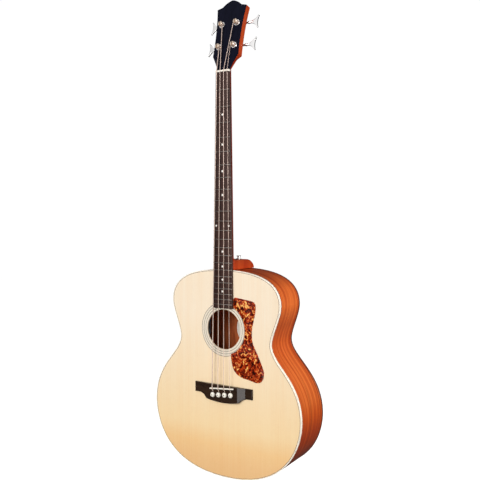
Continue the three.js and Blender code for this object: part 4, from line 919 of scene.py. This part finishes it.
# Saddle and bridge pins
# A bone saddle stands in the bridge's slanted slot, with its crown rounded for the strings.
# White turned pins with a dark dot hold each string's ball end under the soundboard.
saddle_crown = -0.0124
saddle_low, saddle_high = (-0.036, saddle_crown, -0.0016), (0.036, -0.0044, 0.0016)
string_names = ("E", "A", "D", "G")
middle_string = 1.5
pin_line = -0.7993
pin_spacing = 0.018
pin_head_radius = 0.0064
pin_profile = (
    (0.0013, 0.0132), (0.0026, 0.0118), (0.0032, -0.0088), (0.0032, -0.0094), (0.0061, -0.0094),
    (pin_head_radius, -0.0099), (0.0063, -0.0111), (0.0057, -0.0122), (0.0047, -0.0131),
    (0.0032, -0.0138), (0.0014, -0.0140),
)
pin_dot_profile = ((0.0014, -0.0134), (0.0014, -0.01408), (0.0009, -0.01415))


def turned_piece(profile, sides=48, hollow=False):
    """A solid turned round y, through pairs of a radius and a place along y, closed at both ends.
    A hollow one has a profile that closes on itself, with no ends."""
    start_fresh()
    last_radius, last_place = profile[0]
    bpy.ops.mesh.primitive_circle_add(
        vertices=sides, radius=last_radius, fill_type="NOTHING" if hollow else "NGON",
        rotation=(math.pi / 2, 0.0, 0.0),
    )
    turned = keep_place()
    open_for_edit(turned)
    bpy.ops.transform.translate(value=(0.0, last_place, 0.0))
    for radius, spot in (*profile[1:], profile[0]) if hollow else profile[1:]:
        push(spot - last_place)
        share = radius / last_radius
        bpy.ops.transform.resize(value=(share, 1.0, share), center_override=(0.0, spot, 0.0))
        last_radius, last_place = radius, spot
    if hollow:
        bpy.ops.mesh.select_all(action="SELECT")
        bpy.ops.mesh.remove_doubles(threshold=0.000001)
    close_outward()
    return turned


def copy_of(piece, matrix):
    twin = piece.copy()
    twin.data = piece.data.copy()
    scene.collection.objects.link(twin)
    return settle(twin, matrix)


def discard(*patterns):
    for pattern in patterns:
        bpy.data.objects.remove(pattern)


bone = plastic_finish("polished_bone", (255, 251, 242), (248, 240, 224), (0.22, 0.4), 0.25, 120.0)
saddle = block(saddle_low, saddle_high)
soften(saddle, 0.0011, 4)
settle(saddle, saddle_turn)
smooth(saddle)
dress(saddle, "bone_saddle", bone, nodes=["saddle"])
finish_nodes(dark_line, "saddle_pickup")

first_pin = turned_piece(pin_profile)
smooth(first_pin, 50.0)
first_dot = turned_piece(pin_dot_profile, 24)
smooth(first_dot)
for index, name in enumerate(string_names):
    across = (index - middle_string) * pin_spacing
    pin_spot = Matrix.Translation((across, 0.0, pin_line + bridge_slope * across))
    dress(copy_of(first_pin, pin_spot), f"turned_pin_{name}", bone, nodes=[f"bridge_pin_{name}"])
    dress(copy_of(first_dot, pin_spot), f"pin_dot_{name}", dark_line)
discard(first_pin, first_dot)


# Preamp and control wheels
# A small black housing glued under the soundboard beside the sound hole, with two knurled
# thumb wheels for volume and tone that turn on short axles and reach past the hole's edge.
wheel_middle = -0.0525
wheel_places = {"volume_wheel": -0.619, "tone_wheel": -0.647}
wheel_root, wheel_tip = 0.0074, 0.008
wheel_front, wheel_back = 0.005, 0.008
axle_radius = 0.0015
axle_front, axle_back = 0.0038, 0.0092


def pick_vertices(piece, wanted):
    """Selects the vertices whose place satisfies wanted, and leaves the piece open in edit mode."""
    take(piece)
    for part in (*piece.data.polygons, *piece.data.edges):
        part.select = False
    for vertex in piece.data.vertices:
        vertex.select = bool(wanted(vertex.co))
    bpy.ops.object.mode_set(mode="EDIT")
    bpy.ops.mesh.select_mode(type="VERT")


def toothed_disc(root, tip, teeth, front, back):
    """A round disc about y with straight teeth: every second pair of edges stands out to the tip."""
    disc = round_bar(root, front, back, sides=teeth * 4)
    step = 2 * math.pi / (teeth * 4)

    def on_tooth(spot):
        corner = round(math.atan2(spot.z, spot.x) / step) % 4
        return corner in (0, 1) and math.hypot(spot.x, spot.z) > root / 2

    pick_vertices(disc, on_tooth)
    bpy.ops.transform.resize(value=(tip / root, 1.0, tip / root), center_override=(0.0, 0.0, 0.0))
    close_edit()
    return disc


def melt_on(piece, other):
    combine(piece, other, "UNION")


black_plastic = plastic_finish("black_moulded_plastic", (30, 30, 33), (44, 44, 48), (0.35, 0.6), 0.0, 200.0)
finish_nodes(black_plastic, "preamp_housing")
first_wheel = toothed_disc(wheel_root, wheel_tip, 30, wheel_front, wheel_back)
melt_on(first_wheel, round_bar(axle_radius, axle_front, axle_back, sides=24))
smooth(first_wheel)
for name, height in wheel_places.items():
    wheel = copy_of(first_wheel, Matrix.Translation((wheel_middle, 0.0, height)))
    dress(wheel, f"knurled_{name}", black_plastic, name, [name])
discard(first_wheel)


# Neck
# One length of red-stained mahogany: a round-backed shaft, a squared heel that meets the body,
# and a headstock that leans back. A truss rod runs in a channel under the fretboard.
nut_thickness = 0.005
neck_depth_at_nut = 0.014
neck_depth_at_heel = 0.017
neck_shares = (0.33, 0.66)
heel_half = 0.030
heel_shoulder = -0.464
heel_fillet = 0.010
heel_fillet_steps = 8
heel_overlap = 0.006
heel_flat = 0.056
heel_depth = 0.093
heel_low = body_top + 0.0002
round_reach = 0.552
headstock_tilt = math.radians(12.5)
headstock_thickness = 0.015
head_foot = (0.0202, 0.0)
head_shoulder = (0.038, 0.039)
head_top = (0.0438, 0.1683)
head_place = Matrix.Translation((0.0, 0.0, nut_thickness)) @ Matrix.Rotation(-headstock_tilt, 4, "X")
throat_block_low, throat_block_high = (0.0, 0.0, -0.01), (0.05, 0.03, 0.05)
throat_facets = (
    ((0.0202, 0.002, 0.0), (0.0316, 0.0076, 0.0282), (0.0022, 0.015, 0.0)),
    ((0.0316, 0.0076, 0.0282), (0.038, 0.015, 0.039), (0.0214, 0.015, 0.0282)),
)


def board_half(height):
    return board_half_at_nut + (board_half_at_end - board_half_at_nut) * -height / board_length


def head_outline():
    """The headstock's face: a flared throat, hollow flanks, and shoulders that rise to a low crown."""
    throat = bent(head_foot, (0.0202, 0.010), head_shoulder)
    flank = bent(head_shoulder, (0.035, 0.110), head_top)
    right = [
        (head_foot, None, throat[0]),
        (head_shoulder, throat[1], flank[0]),
        (head_top, flank[1], None),
        ((0.0295, 0.1717), None, (0.0268, 0.1732)),
        ((0.0201, 0.1793), (0.0232, 0.1770), (0.0165, 0.1812)),
    ]
    crown = ((0.0, 0.1875), (0.0065, 0.1875), (-0.0065, 0.1875))
    foot = ((0.0, 0.0), None, None)
    return drawn_outline([foot, *right, crown, *mirror_points(right)])


def heel_view():
    """The heel seen from the side: flat shoulder, then a quarter ellipse down to its deepest edge."""
    depth_reach = heel_flat + round_reach * (heel_depth - heel_flat)
    height_reach = heel_low + (1 - round_reach) * (heel_shoulder - heel_low)
    return drawn_outline([
        ((0.0, heel_low), None, None),
        ((heel_depth, heel_low), None, (heel_depth, height_reach)),
        ((heel_flat, heel_shoulder), (depth_reach, heel_shoulder), None),
        ((0.0, heel_shoulder), None, None),
    ], 16)


def shaft_rows():
    """Rows of height, half width and depth down the shaft, with a fillet where it meets the heel."""
    rows = [(height, board_half_at_nut, neck_depth_at_nut) for height in (nut_thickness, 0.0)]
    for share in neck_shares:
        height = share * (heel_shoulder + heel_fillet)
        depth = neck_depth_at_nut + share * (neck_depth_at_heel - neck_depth_at_nut)
        rows.append((height, board_half(height), depth))
    for step in range(heel_fillet_steps + 1):
        angle = math.pi / 2 * step / heel_fillet_steps
        height = heel_shoulder + heel_fillet * (1 - math.sin(angle))
        rows.append((height, board_half(height), neck_depth_at_heel + heel_fillet * (1 - math.cos(angle))))
    rows.append((heel_shoulder - heel_overlap, board_half(heel_shoulder), neck_depth_at_heel + heel_fillet))
    return rows


start_fresh()
bpy.ops.mesh.primitive_circle_add(vertices=96, radius=1.0, fill_type="NGON")
neck = bpy.context.object
open_for_edit(neck)
neck_rows = shaft_rows()
last_height, last_half, last_depth = neck_rows[0]
bpy.ops.transform.resize(value=(last_half, last_depth, 1.0))
bpy.ops.transform.translate(value=(0.0, 0.0, last_height))
for height, half, depth in neck_rows[1:]:
    push(height - last_height, 2)
    bpy.ops.transform.resize(
        value=(half / last_half, depth / last_depth, 1.0), center_override=(0.0, 0.0, height),
    )
    last_height, last_half, last_depth = height, half, depth
bpy.ops.mesh.select_all(action="SELECT")
bpy.ops.mesh.bisect(plane_co=(0.0, 0.0, 0.0), plane_no=(0.0, 1.0, 0.0), use_fill=True, clear_inner=True)
close_outward()

heel = outline_sheet(0.0, 2 * heel_half, -heel_half, heel_view)
heel.rotation_euler = (0.0, 0.0, math.pi / 2)
take(heel)
keep_place()
soften(heel, 0.0035, 4, 50.0)
melt_on(neck, heel)

headstock = outline_sheet(0.0, headstock_thickness, 0.0, head_outline)
for side in (-1, 1):
    throat_cutter = block(throat_block_low, throat_block_high)
    open_for_edit(throat_cutter)
    for low, high, across in throat_facets:
        facing = (Vector(high) - Vector(low)).cross(Vector(across) - Vector(low)).normalized()
        bpy.ops.mesh.select_all(action="SELECT")
        bpy.ops.mesh.bisect(
            plane_co=low, plane_no=facing, use_fill=True,
            clear_inner=facing.y > 0, clear_outer=facing.y < 0,
        )
    close_edit()
    if side < 0:
        settle(throat_cutter, Matrix.Scale(-1.0, 4, (1.0, 0.0, 0.0)))
        open_for_edit(throat_cutter)
        close_outward()
    cut_away(headstock, throat_cutter)
settle(headstock, head_place)
melt_on(neck, headstock)
smooth(neck, 30.0)

neck_mahogany = wood_finish(
    "neck_mahogany", ((212, 82, 34), (176, 52, 20), (112, 30, 14)),
    fibre=280.0, band=38.0, stretch=60.0, polish=(0.26, 0.4), pore_share=0.35,
)
# Painted shade: the shaft and the top of the heel are darkened along the neck's length, while the heel's
# lower end and the headstock stay lighter.
tint_along(neck_mahogany, "Z", (
    (-0.5, (255, 255, 255)), (-0.462, (200, 210, 224)), (-0.448, (164, 138, 132)),
    (-0.004, (164, 138, 132)), (0.03, (186, 158, 154)), (0.05, (230, 236, 228)), (0.2, (220, 226, 218)),
))
dress(neck, "carved_neck", neck_mahogany, nodes=["neck"])


def metal_finish(name, colour, other, polish, scale=40.0, metallic=1.0):
    """Bare or plated metal with smudges in its polish and a faint drift in its colour."""
    finish, tree, spot, shader = new_finish(name)
    tone = blend_colour(tree, clouds(tree, spot, scale, 3.0, 0.35, 0.65), shade(*colour), shade(*other))
    paint(tree, shader, spot, tone, polish)
    shader.inputs["Metallic"].default_value = metallic
    return finish


steel = metal_finish("brushed_steel", (196, 196, 200), (170, 170, 174), (0.25, 0.45))
finish_nodes(steel, "truss_rod")


# Fretboard, frets and dots
# A tapered board of rosewood glued on the neck, with 23 half-round nickel frets pressed in.
# White dots mark the 3rd, 5th, 7th, 9th, 12th, 15th, 17th, 19th and 21st frets, two at the 12th.
board_face, board_back = -0.006, -0.0002
scale_length = 0.781
fret_count = 23
fret_half_width = 0.0009
fret_height = 0.001
fret_sink = 0.0003
fret_end_gap = 0.0002
dotted_frets = (3, 5, 7, 9, 12, 15, 17, 19, 21)
dot_radius = 0.0026
dot_rise, dot_sink = 0.00005, 0.0005
twin_dots = (-0.019, 0.019)
side_dot_radius = 0.0011
side_dot_sink = 0.0003
side_dot_depth = -0.0031


def fret_place(number):
    return -scale_length * (1 - 2 ** (-number / 12))


board = block((-board_half_at_nut, board_face, -board_length), (board_half_at_nut, board_back, 0.0))
pick_vertices(board, lambda spot: spot.z < -board_length / 2)
bpy.ops.transform.resize(
    value=(board_half_at_end / board_half_at_nut, 1.0, 1.0), center_override=(0.0, 0.0, 0.0),
)
close_edit()
soften(board, 0.0005)
smooth(board)
rosewood = wood_finish(
    "oiled_rosewood", ((82, 60, 55), (58, 41, 38), (32, 22, 20)),
    fibre=330.0, band=50.0, stretch=26.0, polish=(0.32, 0.5), pore_share=0.6, coat=0.06,
)
# Painted shade: the fretboard's colour is darker toward its bass edge.
tint_along(rosewood, "X", ((-0.022, (226, 222, 220)), (0.022, (255, 255, 255))))
dress(board, "rosewood_fretboard", rosewood, nodes=["fretboard"])

nickel = metal_finish("nickel_fret_wire", (206, 202, 198), (186, 182, 178), (0.3, 0.42))
# Painted highlight and shade: each fret is dark at its bass end and bright at its treble end.
tint_along(nickel, "X", ((-0.024, (140, 136, 134)), (0.026, (255, 253, 250))))
start_fresh()
bpy.ops.mesh.primitive_cylinder_add(
    vertices=24, radius=fret_half_width, depth=2.0, rotation=(0.0, math.pi / 2, 0.0),
)
first_fret = keep_place()
open_for_edit(first_fret)
bpy.ops.transform.resize(value=(1.0, fret_height / fret_half_width, 1.0))
bpy.ops.mesh.bisect(plane_co=(0.0, fret_sink, 0.0), plane_no=(0.0, 1.0, 0.0), use_fill=True, clear_outer=True)
close_edit()
smooth(first_fret, 50.0)
for number in range(1, fret_count + 1):
    height = fret_place(number)
    fret_half = board_half(height) - fret_end_gap
    fret_spot = Matrix.Translation((0.0, board_face, height)) @ Matrix.Scale(fret_half, 4, (1.0, 0.0, 0.0))
    dress(copy_of(first_fret, fret_spot), f"fret_wire_{number:02d}", nickel)

pearl = plastic_finish("white_dot_inlay", (255, 252, 246), (246, 242, 234), (0.15, 0.3), 0.2, 300.0)
first_inlay = round_bar(dot_radius, board_face - dot_rise, board_face + dot_sink, sides=32)
first_side_dot = round_bar(side_dot_radius, -side_dot_sink, dot_rise, sides=20)
for number in dotted_frets:
    height = (fret_place(number) + fret_place(number - 1)) / 2
    for order, across in enumerate(twin_dots if number == 12 else (0.0,)):
        inlay = copy_of(first_inlay, Matrix.Translation((across, 0.0, height)))
        dress(inlay, f"fret_dot_{number:02d}_{order}", pearl)
    side_spot = Matrix.Translation((-board_half(height), side_dot_depth, height))
    side_dot = copy_of(first_side_dot, side_spot @ Matrix.Rotation(-math.pi / 2, 4, "Z"))
    dress(side_dot, f"side_dot_{number:02d}", pearl)
discard(first_fret, first_inlay, first_side_dot)


# Nut
# A bone bar between fretboard and headstock, with a slot filed for each string.
# The slots are a little wider than their strings, which rest on the slots' floors.
nut_low, nut_high = 0.0002, 0.0048
nut_crown = -0.0083
nut_slot = -0.0071
nut_slot_gap = 0.0001
nut_overrun = 0.001
nut_spacing = 0.0103
string_radii = (0.00125, 0.001, 0.0008, 0.00055)

nut = block((-board_half_at_nut, nut_crown, nut_low), (board_half_at_nut, board_back, nut_high))
soften(nut, 0.0007, 3)
for index, radius in enumerate(string_radii):
    across = (index - middle_string) * nut_spacing
    half = radius + nut_slot_gap
    cut_away(nut, block(
        (across - half, nut_crown - nut_overrun, -nut_overrun),
        (across + half, nut_slot, nut_thickness + nut_overrun),
    ))
smooth(nut)
dress(nut, "bone_nut", bone, nodes=["nut"])


# Headstock face
# A thin black veneer in thick gloss on the front of the headstock, left bare of any mark.
# It has the headstock's own outline.
veneer_front, veneer_back = -0.0017, -0.0002

veneer = outline_sheet(0.0, veneer_back - veneer_front, veneer_front, head_outline)
soften(veneer, 0.0003)
settle(veneer, head_place)
smooth(veneer)
black_gloss = wood_finish(
    "black_gloss_veneer", ((23, 24, 40), (15, 16, 28), (8, 8, 14)),
    fibre=300.0, band=40.0, stretch=26.0, polish=(0.1, 0.2), pore_share=0.3, specular=0.02,
)
dress(veneer, "headstock_face", black_gloss, nodes=["headstock_veneer"])


# Tuning machines
# Four open-geared chrome tuners: a base plate with two ears screwed to the back of the headstock,
# a worm on the key's shaft, a gear on the string post, and a flanged bushing in the front.
post_offset = 0.0225
tuner_places = {"E": (-1, 0.063), "A": (-1, 0.123), "D": (1, 0.123), "G": (1, 0.063)}
worm_depth = 0.021
worm_rise = 0.009
worm_bore_radius, worm_bore_reach = 0.00245, 0.012
gear_teeth = 16
gear_root, gear_tip = 0.00515, 0.0065
gear_half = 0.0017
plate_seat = 0.0152
plate_face = 0.0167
plate_half = 0.010
plate_low, plate_high = -0.009, 0.014
ear_middle, ear_half = 0.0065, 0.001
ear_sink = 0.0002
ear_back = 0.0243
ear_low, ear_high = 0.0048, 0.0132
screw_places = ((-0.0078, -0.0068), (0.0078, -0.0068))
screw_profile = ((0.0017, -0.0005), (0.0017, 0.0004), (0.0012, 0.0009), (0.0004, 0.0011))
screw_slot_half, screw_slot_reach = 0.00022, 0.0012
screw_slot_floor, screw_slot_top = plate_face + 0.0006, plate_face + 0.002
bushing_profile = (
    (0.0052, 0.008), (0.0064, 0.008), (0.0064, -0.0019), (0.0080, -0.0019), (0.0080, -0.0027),
    (0.0077, -0.0033), (0.0071, -0.0035), (0.0056, -0.0035), (0.0052, -0.0032),
)
post_waist = 0.0044
post_profile = (
    (0.0030, 0.0235), (0.0030, 0.0210), (0.0049, 0.0208), (0.0049, -0.0038), (0.0060, -0.0039),
    (0.0060, -0.0045), (0.0050, -0.0048), (post_waist, -0.0058), (post_waist, -0.0098), (0.0050, -0.0106),
    (0.0060, -0.0110), (0.0060, -0.0119), (0.0056, -0.0125), (0.0050, -0.0127),
)
post_slot_low, post_slot_high = (-0.0013, -0.0147, -0.008), (0.0013, -0.0077, 0.008)
key_profile = (
    (0.00215, -0.0085), (0.00215, 0.0078), (0.0027, 0.0079), (0.0024, 0.0165), (0.0024, 0.0180),
    (0.0033, 0.0185), (0.0036, 0.0192), (0.0036, 0.0218), (0.0033, 0.0225), (0.0026, 0.0235),
    (0.0023, 0.0260), (0.0018, 0.0300), (0.0008, 0.0320),
)
blade_start = (0.0237, 0.0023)
blade_corner = (0.0468, 0.0174)
blade_thickness = 0.0034
pitch_radius = 0.006
thread_lead = 2 * math.pi * pitch_radius / gear_teeth
thread_share = 0.26
thread_foot = thread_share * thread_lead / 2 + 0.00022
thread_tip = thread_share * thread_lead / 2 - 0.00013
thread_inner, thread_outer = 0.0019, 0.0035

chrome = metal_finish("polished_chrome", (252, 250, 248), (236, 235, 236), (0.05, 0.16))
worn_chrome = metal_finish("warm_worn_chrome", (238, 220, 202), (214, 194, 174), (0.1, 0.24), 300.0)


def join_on(piece, other):
    """Makes a second piece part of the first one's mesh, without melting them together."""
    start_fresh()
    other.select_set(True)
    piece.select_set(True)
    bpy.context.view_layer.objects.active = piece
    bpy.ops.object.join()


plate = block((-plate_half, plate_seat, plate_low), (plate_half, plate_face, plate_high))
for side in (-1, 1):
    melt_on(plate, block(
        (side * ear_middle - ear_half, plate_face - ear_sink, ear_low),
        (side * ear_middle + ear_half, ear_back, ear_high),
    ))
worm_place = Matrix.Translation((0.0, worm_depth, worm_rise))
worm_bore = round_bar(worm_bore_radius, -worm_bore_reach, worm_bore_reach, sides=32)
worm_bore.matrix_world = worm_place @ Matrix.Rotation(-math.pi / 2, 4, "Z")
cut_away(plate, worm_bore)
soften(plate, 0.0005, 2, 50.0)
smooth(plate)

plate_screw = turned_piece([(radius, plate_face + rise) for radius, rise in screw_profile], 24)
for wide, tall in ((screw_slot_half, screw_slot_reach), (screw_slot_reach, screw_slot_half)):
    cut_away(plate_screw, block((-wide, screw_slot_floor, -tall), (wide, screw_slot_top, tall)))
smooth(plate_screw)

bushing = turned_piece(bushing_profile, hollow=True)
smooth(bushing, 40.0)

post = turned_piece(post_profile)
cut_away(post, block(post_slot_low, post_slot_high))
melt_on(post, toothed_disc(gear_root, gear_tip, gear_teeth, worm_depth - gear_half, worm_depth + gear_half))
smooth(post)


def blade_outline():
    """The key's fish-tail blade: a thin neck, two flared lobes and a shallow dip at the end."""
    lobe = bent(blade_start, (0.0364, 0.0023), blade_corner)
    half = [
        (blade_start, None, lobe[0]),
        (blade_corner, lobe[1], (0.0480, 0.0176)),
        ((0.0485, 0.0157), (0.0485, 0.0168), (0.0465, 0.0105)),
    ]
    other_half = [
        tuple(None if spot is None else (spot[0], -spot[1]) for spot in (point, after, before))
        for point, before, after in reversed(half)
    ]
    dip = ((0.0455, 0.0), (0.0455, 0.0045), (0.0455, -0.0045))
    stem = ((0.0215, 0.0), None, None)
    return drawn_outline([*half[1:], dip, *other_half, stem, half[0]], 10)


key = turned_piece(key_profile, 40)
settle(key, Matrix.Rotation(-math.pi / 2, 4, "Z"))
blade = outline_sheet(0.0, blade_thickness, -blade_thickness / 2, blade_outline)
soften(blade, 0.0013, 4, 40.0)
melt_on(key, blade)

start_fresh()
bpy.ops.mesh.primitive_plane_add(size=1.0, rotation=(-math.pi / 2, 0.0, 0.0))
worm = keep_place()
open_for_edit(worm)
thread_middle = (-thread_lead, 0.0, -(thread_inner + thread_outer) / 2)
bpy.ops.transform.resize(value=(2 * thread_foot, 1.0, thread_outer - thread_inner))
bpy.ops.transform.translate(value=thread_middle)
close_edit()
pick_vertices(worm, lambda spot: spot.z < thread_middle[2])
bpy.ops.transform.resize(value=(thread_tip / thread_foot, 1.0, 1.0), center_override=thread_middle)
close_edit()
finish_modifier(
    worm, "SCREW", axis="X", angle=4 * math.pi, screw_offset=2 * thread_lead,
    steps=64, render_steps=64, use_merge_vertices=False, use_smooth_shade=False,
)
open_for_edit(worm)
bpy.ops.mesh.remove_doubles(threshold=0.000001)
close_outward()
join_on(key, worm)
smooth(key, 40.0)

for name, (side, height) in tuner_places.items():
    tuner_spot = head_place @ Matrix.Translation((side * post_offset, 0.0, height))
    key_spot = tuner_spot @ worm_place @ Matrix.Rotation(0.0 if side > 0 else math.pi, 4, "Z")
    dress(copy_of(plate, tuner_spot), f"chrome_plate_{name}", chrome, nodes=[f"tuner_plate_{name}"])
    for order, (across, up) in enumerate(screw_places):
        screw = copy_of(plate_screw, tuner_spot @ Matrix.Translation((across, 0.0, up)))
        dress(screw, f"plate_screw_{name}_{order}", chrome)
    ring_node, post_node, key_node = f"post_bushing_{name}", f"string_post_{name}", f"tuner_key_{name}"
    dress(copy_of(bushing, tuner_spot), f"flanged_bushing_{name}", chrome, nodes=[ring_node])
    dress(copy_of(post, tuner_spot), f"geared_post_{name}", worn_chrome, post_node, [post_node])
    dress(copy_of(key, key_spot), f"fish_tail_key_{name}", chrome, key_node, [key_node])
discard(plate, plate_screw, bushing, post, key)


# Strings
# Four wound bronze strings. Each has a ball end under the bridge plate, passes up beside its pin,
# over the saddle and the nut, and is wound downward on its post.
saddle_spacing = 0.0175
string_turns = (1.0, 1.5, 2.0, 3.0)
winding_steps = 24
winding_gap = 0.00045
winding_reach_gap = 0.0001
winding_start = -0.0106
string_foot = 0.0076
pin_notch = 0.0034
ramp_start = 0.0045
pin_head_gap = 0.0002
crown_entry_depth, crown_entry_drop = 0.0003, 0.0016
ball_rise = 0.0059
ball_profile = ((0.0018, 0.0061), (0.0025, 0.0066), (0.0025, 0.0090), (0.0018, 0.0095))

bronze = metal_finish("wound_bronze", (248, 228, 214), (234, 210, 194), (0.3, 0.5), 400.0, 0.4)
# Painted shade: the strings are darkened from the sound hole upward, over the fretboard and the headstock.
tint_along(bronze, "Z", ((-0.64, (255, 255, 255)), (-0.56, (206, 200, 198)), (0.0, (214, 210, 212))))


def string_run(index):
    """From the ball end up beside the pin, under the pin's head, over the saddle and the nut."""
    radius = string_radii[index]
    pin_across = (index - middle_string) * pin_spacing
    pin_height = pin_line + bridge_slope * pin_across
    notch = pin_height + pin_notch + radius
    saddle_across = (index - middle_string) * saddle_spacing
    saddle_height = saddle_place + bridge_slope * saddle_across
    saddle_depth = saddle_crown - radius
    nut_across = (index - middle_string) * nut_spacing
    under_head = bridge_front + radius + pin_head_gap
    nut_depth = nut_slot - radius
    return [Vector(spot) for spot in (
        (pin_across, string_foot, notch),
        (pin_across, bridge_front + ramp_start, notch),
        (pin_across, under_head, notch + radius / 2),
        (pin_across, under_head - radius / 2, pin_height + pin_head_radius + 2 * radius),
        (saddle_across, saddle_depth + crown_entry_depth, saddle_height - crown_entry_drop),
        (saddle_across, saddle_depth, saddle_height),
        (nut_across, nut_depth, 0.0),
        (nut_across, nut_depth, nut_thickness),
    )]


def string_winding(index, name):
    """The turns on the post, from where the string first touches it."""
    radius = string_radii[index]
    side, height = tuner_places[name]
    reach = post_waist + winding_reach_gap + radius
    pitch = 2 * radius + winding_gap
    middle = Vector((side * post_offset, height))
    to_nut = Vector(((index - middle_string) * nut_spacing, 0.0)) - middle
    first = math.atan2(to_nut.y, to_nut.x) - side * math.acos(reach / to_nut.length)
    points = []
    for step in range(int(string_turns[index] * winding_steps) + 1):
        turn = step / winding_steps
        angle = first - side * 2 * math.pi * turn
        points.append(head_place @ Vector((
            middle.x + reach * math.cos(angle),
            winding_start + radius + pitch * turn,
            middle.y + reach * math.sin(angle),
        )))
    return points


for index, name in enumerate(string_names):
    route = string_run(index) + string_winding(index, name)
    start_fresh()
    bpy.ops.curve.primitive_bezier_curve_add()
    wire = bpy.context.object
    wire.data.dimensions = "3D"
    bpy.ops.object.mode_set(mode="EDIT")
    bpy.ops.curve.select_all(action="SELECT")
    bpy.ops.curve.subdivide(number_cuts=len(route) - 2)
    bpy.ops.object.mode_set(mode="OBJECT")
    for knot, spot in zip(wire.data.splines[0].bezier_points, route):
        knot.handle_left_type = "VECTOR"
        knot.handle_right_type = "VECTOR"
        knot.co = spot
    wire.data.resolution_u = 1
    wire.data.bevel_depth = string_radii[index]
    wire.data.bevel_resolution = 4
    wire.data.use_fill_caps = True
    bpy.ops.object.convert(target="MESH")
    wire = bpy.context.object
    ball_end = turned_piece(ball_profile, 24)
    across = route[0].x
    settle(ball_end, Matrix.Translation((across, 0.0, pin_line + bridge_slope * across + ball_rise)))
    join_on(wire, ball_end)
    smooth(wire, 50.0)
    dress(wire, f"bronze_string_{name}", bronze, nodes=[f"string_{name}"])


# Strap button and end-pin jack
# A chrome button screwed to the heel's shoulder, and a chrome jack at the tail whose wide rim
# also carries the strap.
button_place = (0.008, 0.054, -0.4638)
button_profile = (
    (0.0020, -0.0150), (0.0020, 0.0), (0.0056, 0.0), (0.0060, 0.0004), (0.0060, 0.0012), (0.0056, 0.0016),
    (0.0038, 0.0027), (0.0034, 0.0034), (0.0034, 0.0052), (0.0038, 0.0060), (0.0056, 0.0069),
    (0.0060, 0.0073), (0.0060, 0.0079), (0.0056, 0.0084), (0.0020, 0.0086),
)
jack_place = (0.0, 0.055, tail_place - 0.0032)
jack_profile = (
    (0.0033, 0.036), (0.0033, 0.0006), (0.0037, 0.0), (0.0080, 0.0), (0.0088, 0.0004), (0.0090, 0.0010),
    (0.0090, 0.0026), (0.0086, 0.0030), (0.0062, 0.0030), (0.0062, 0.0470), (0.0010, 0.0470), (0.0010, 0.036),
)
upright = Matrix.Rotation(math.pi / 2, 4, "X")

button = turned_piece(button_profile)
settle(button, Matrix.Translation(button_place) @ upright)
smooth(button, 50.0)
dress(button, "strap_button_chrome", chrome, nodes=["strap_button"])

jack = turned_piece(jack_profile, hollow=True)
settle(jack, Matrix.Translation(jack_place) @ upright)
smooth(jack, 40.0)
dress(jack, "end_pin_jack_chrome", chrome, nodes=["end_pin_jack"])
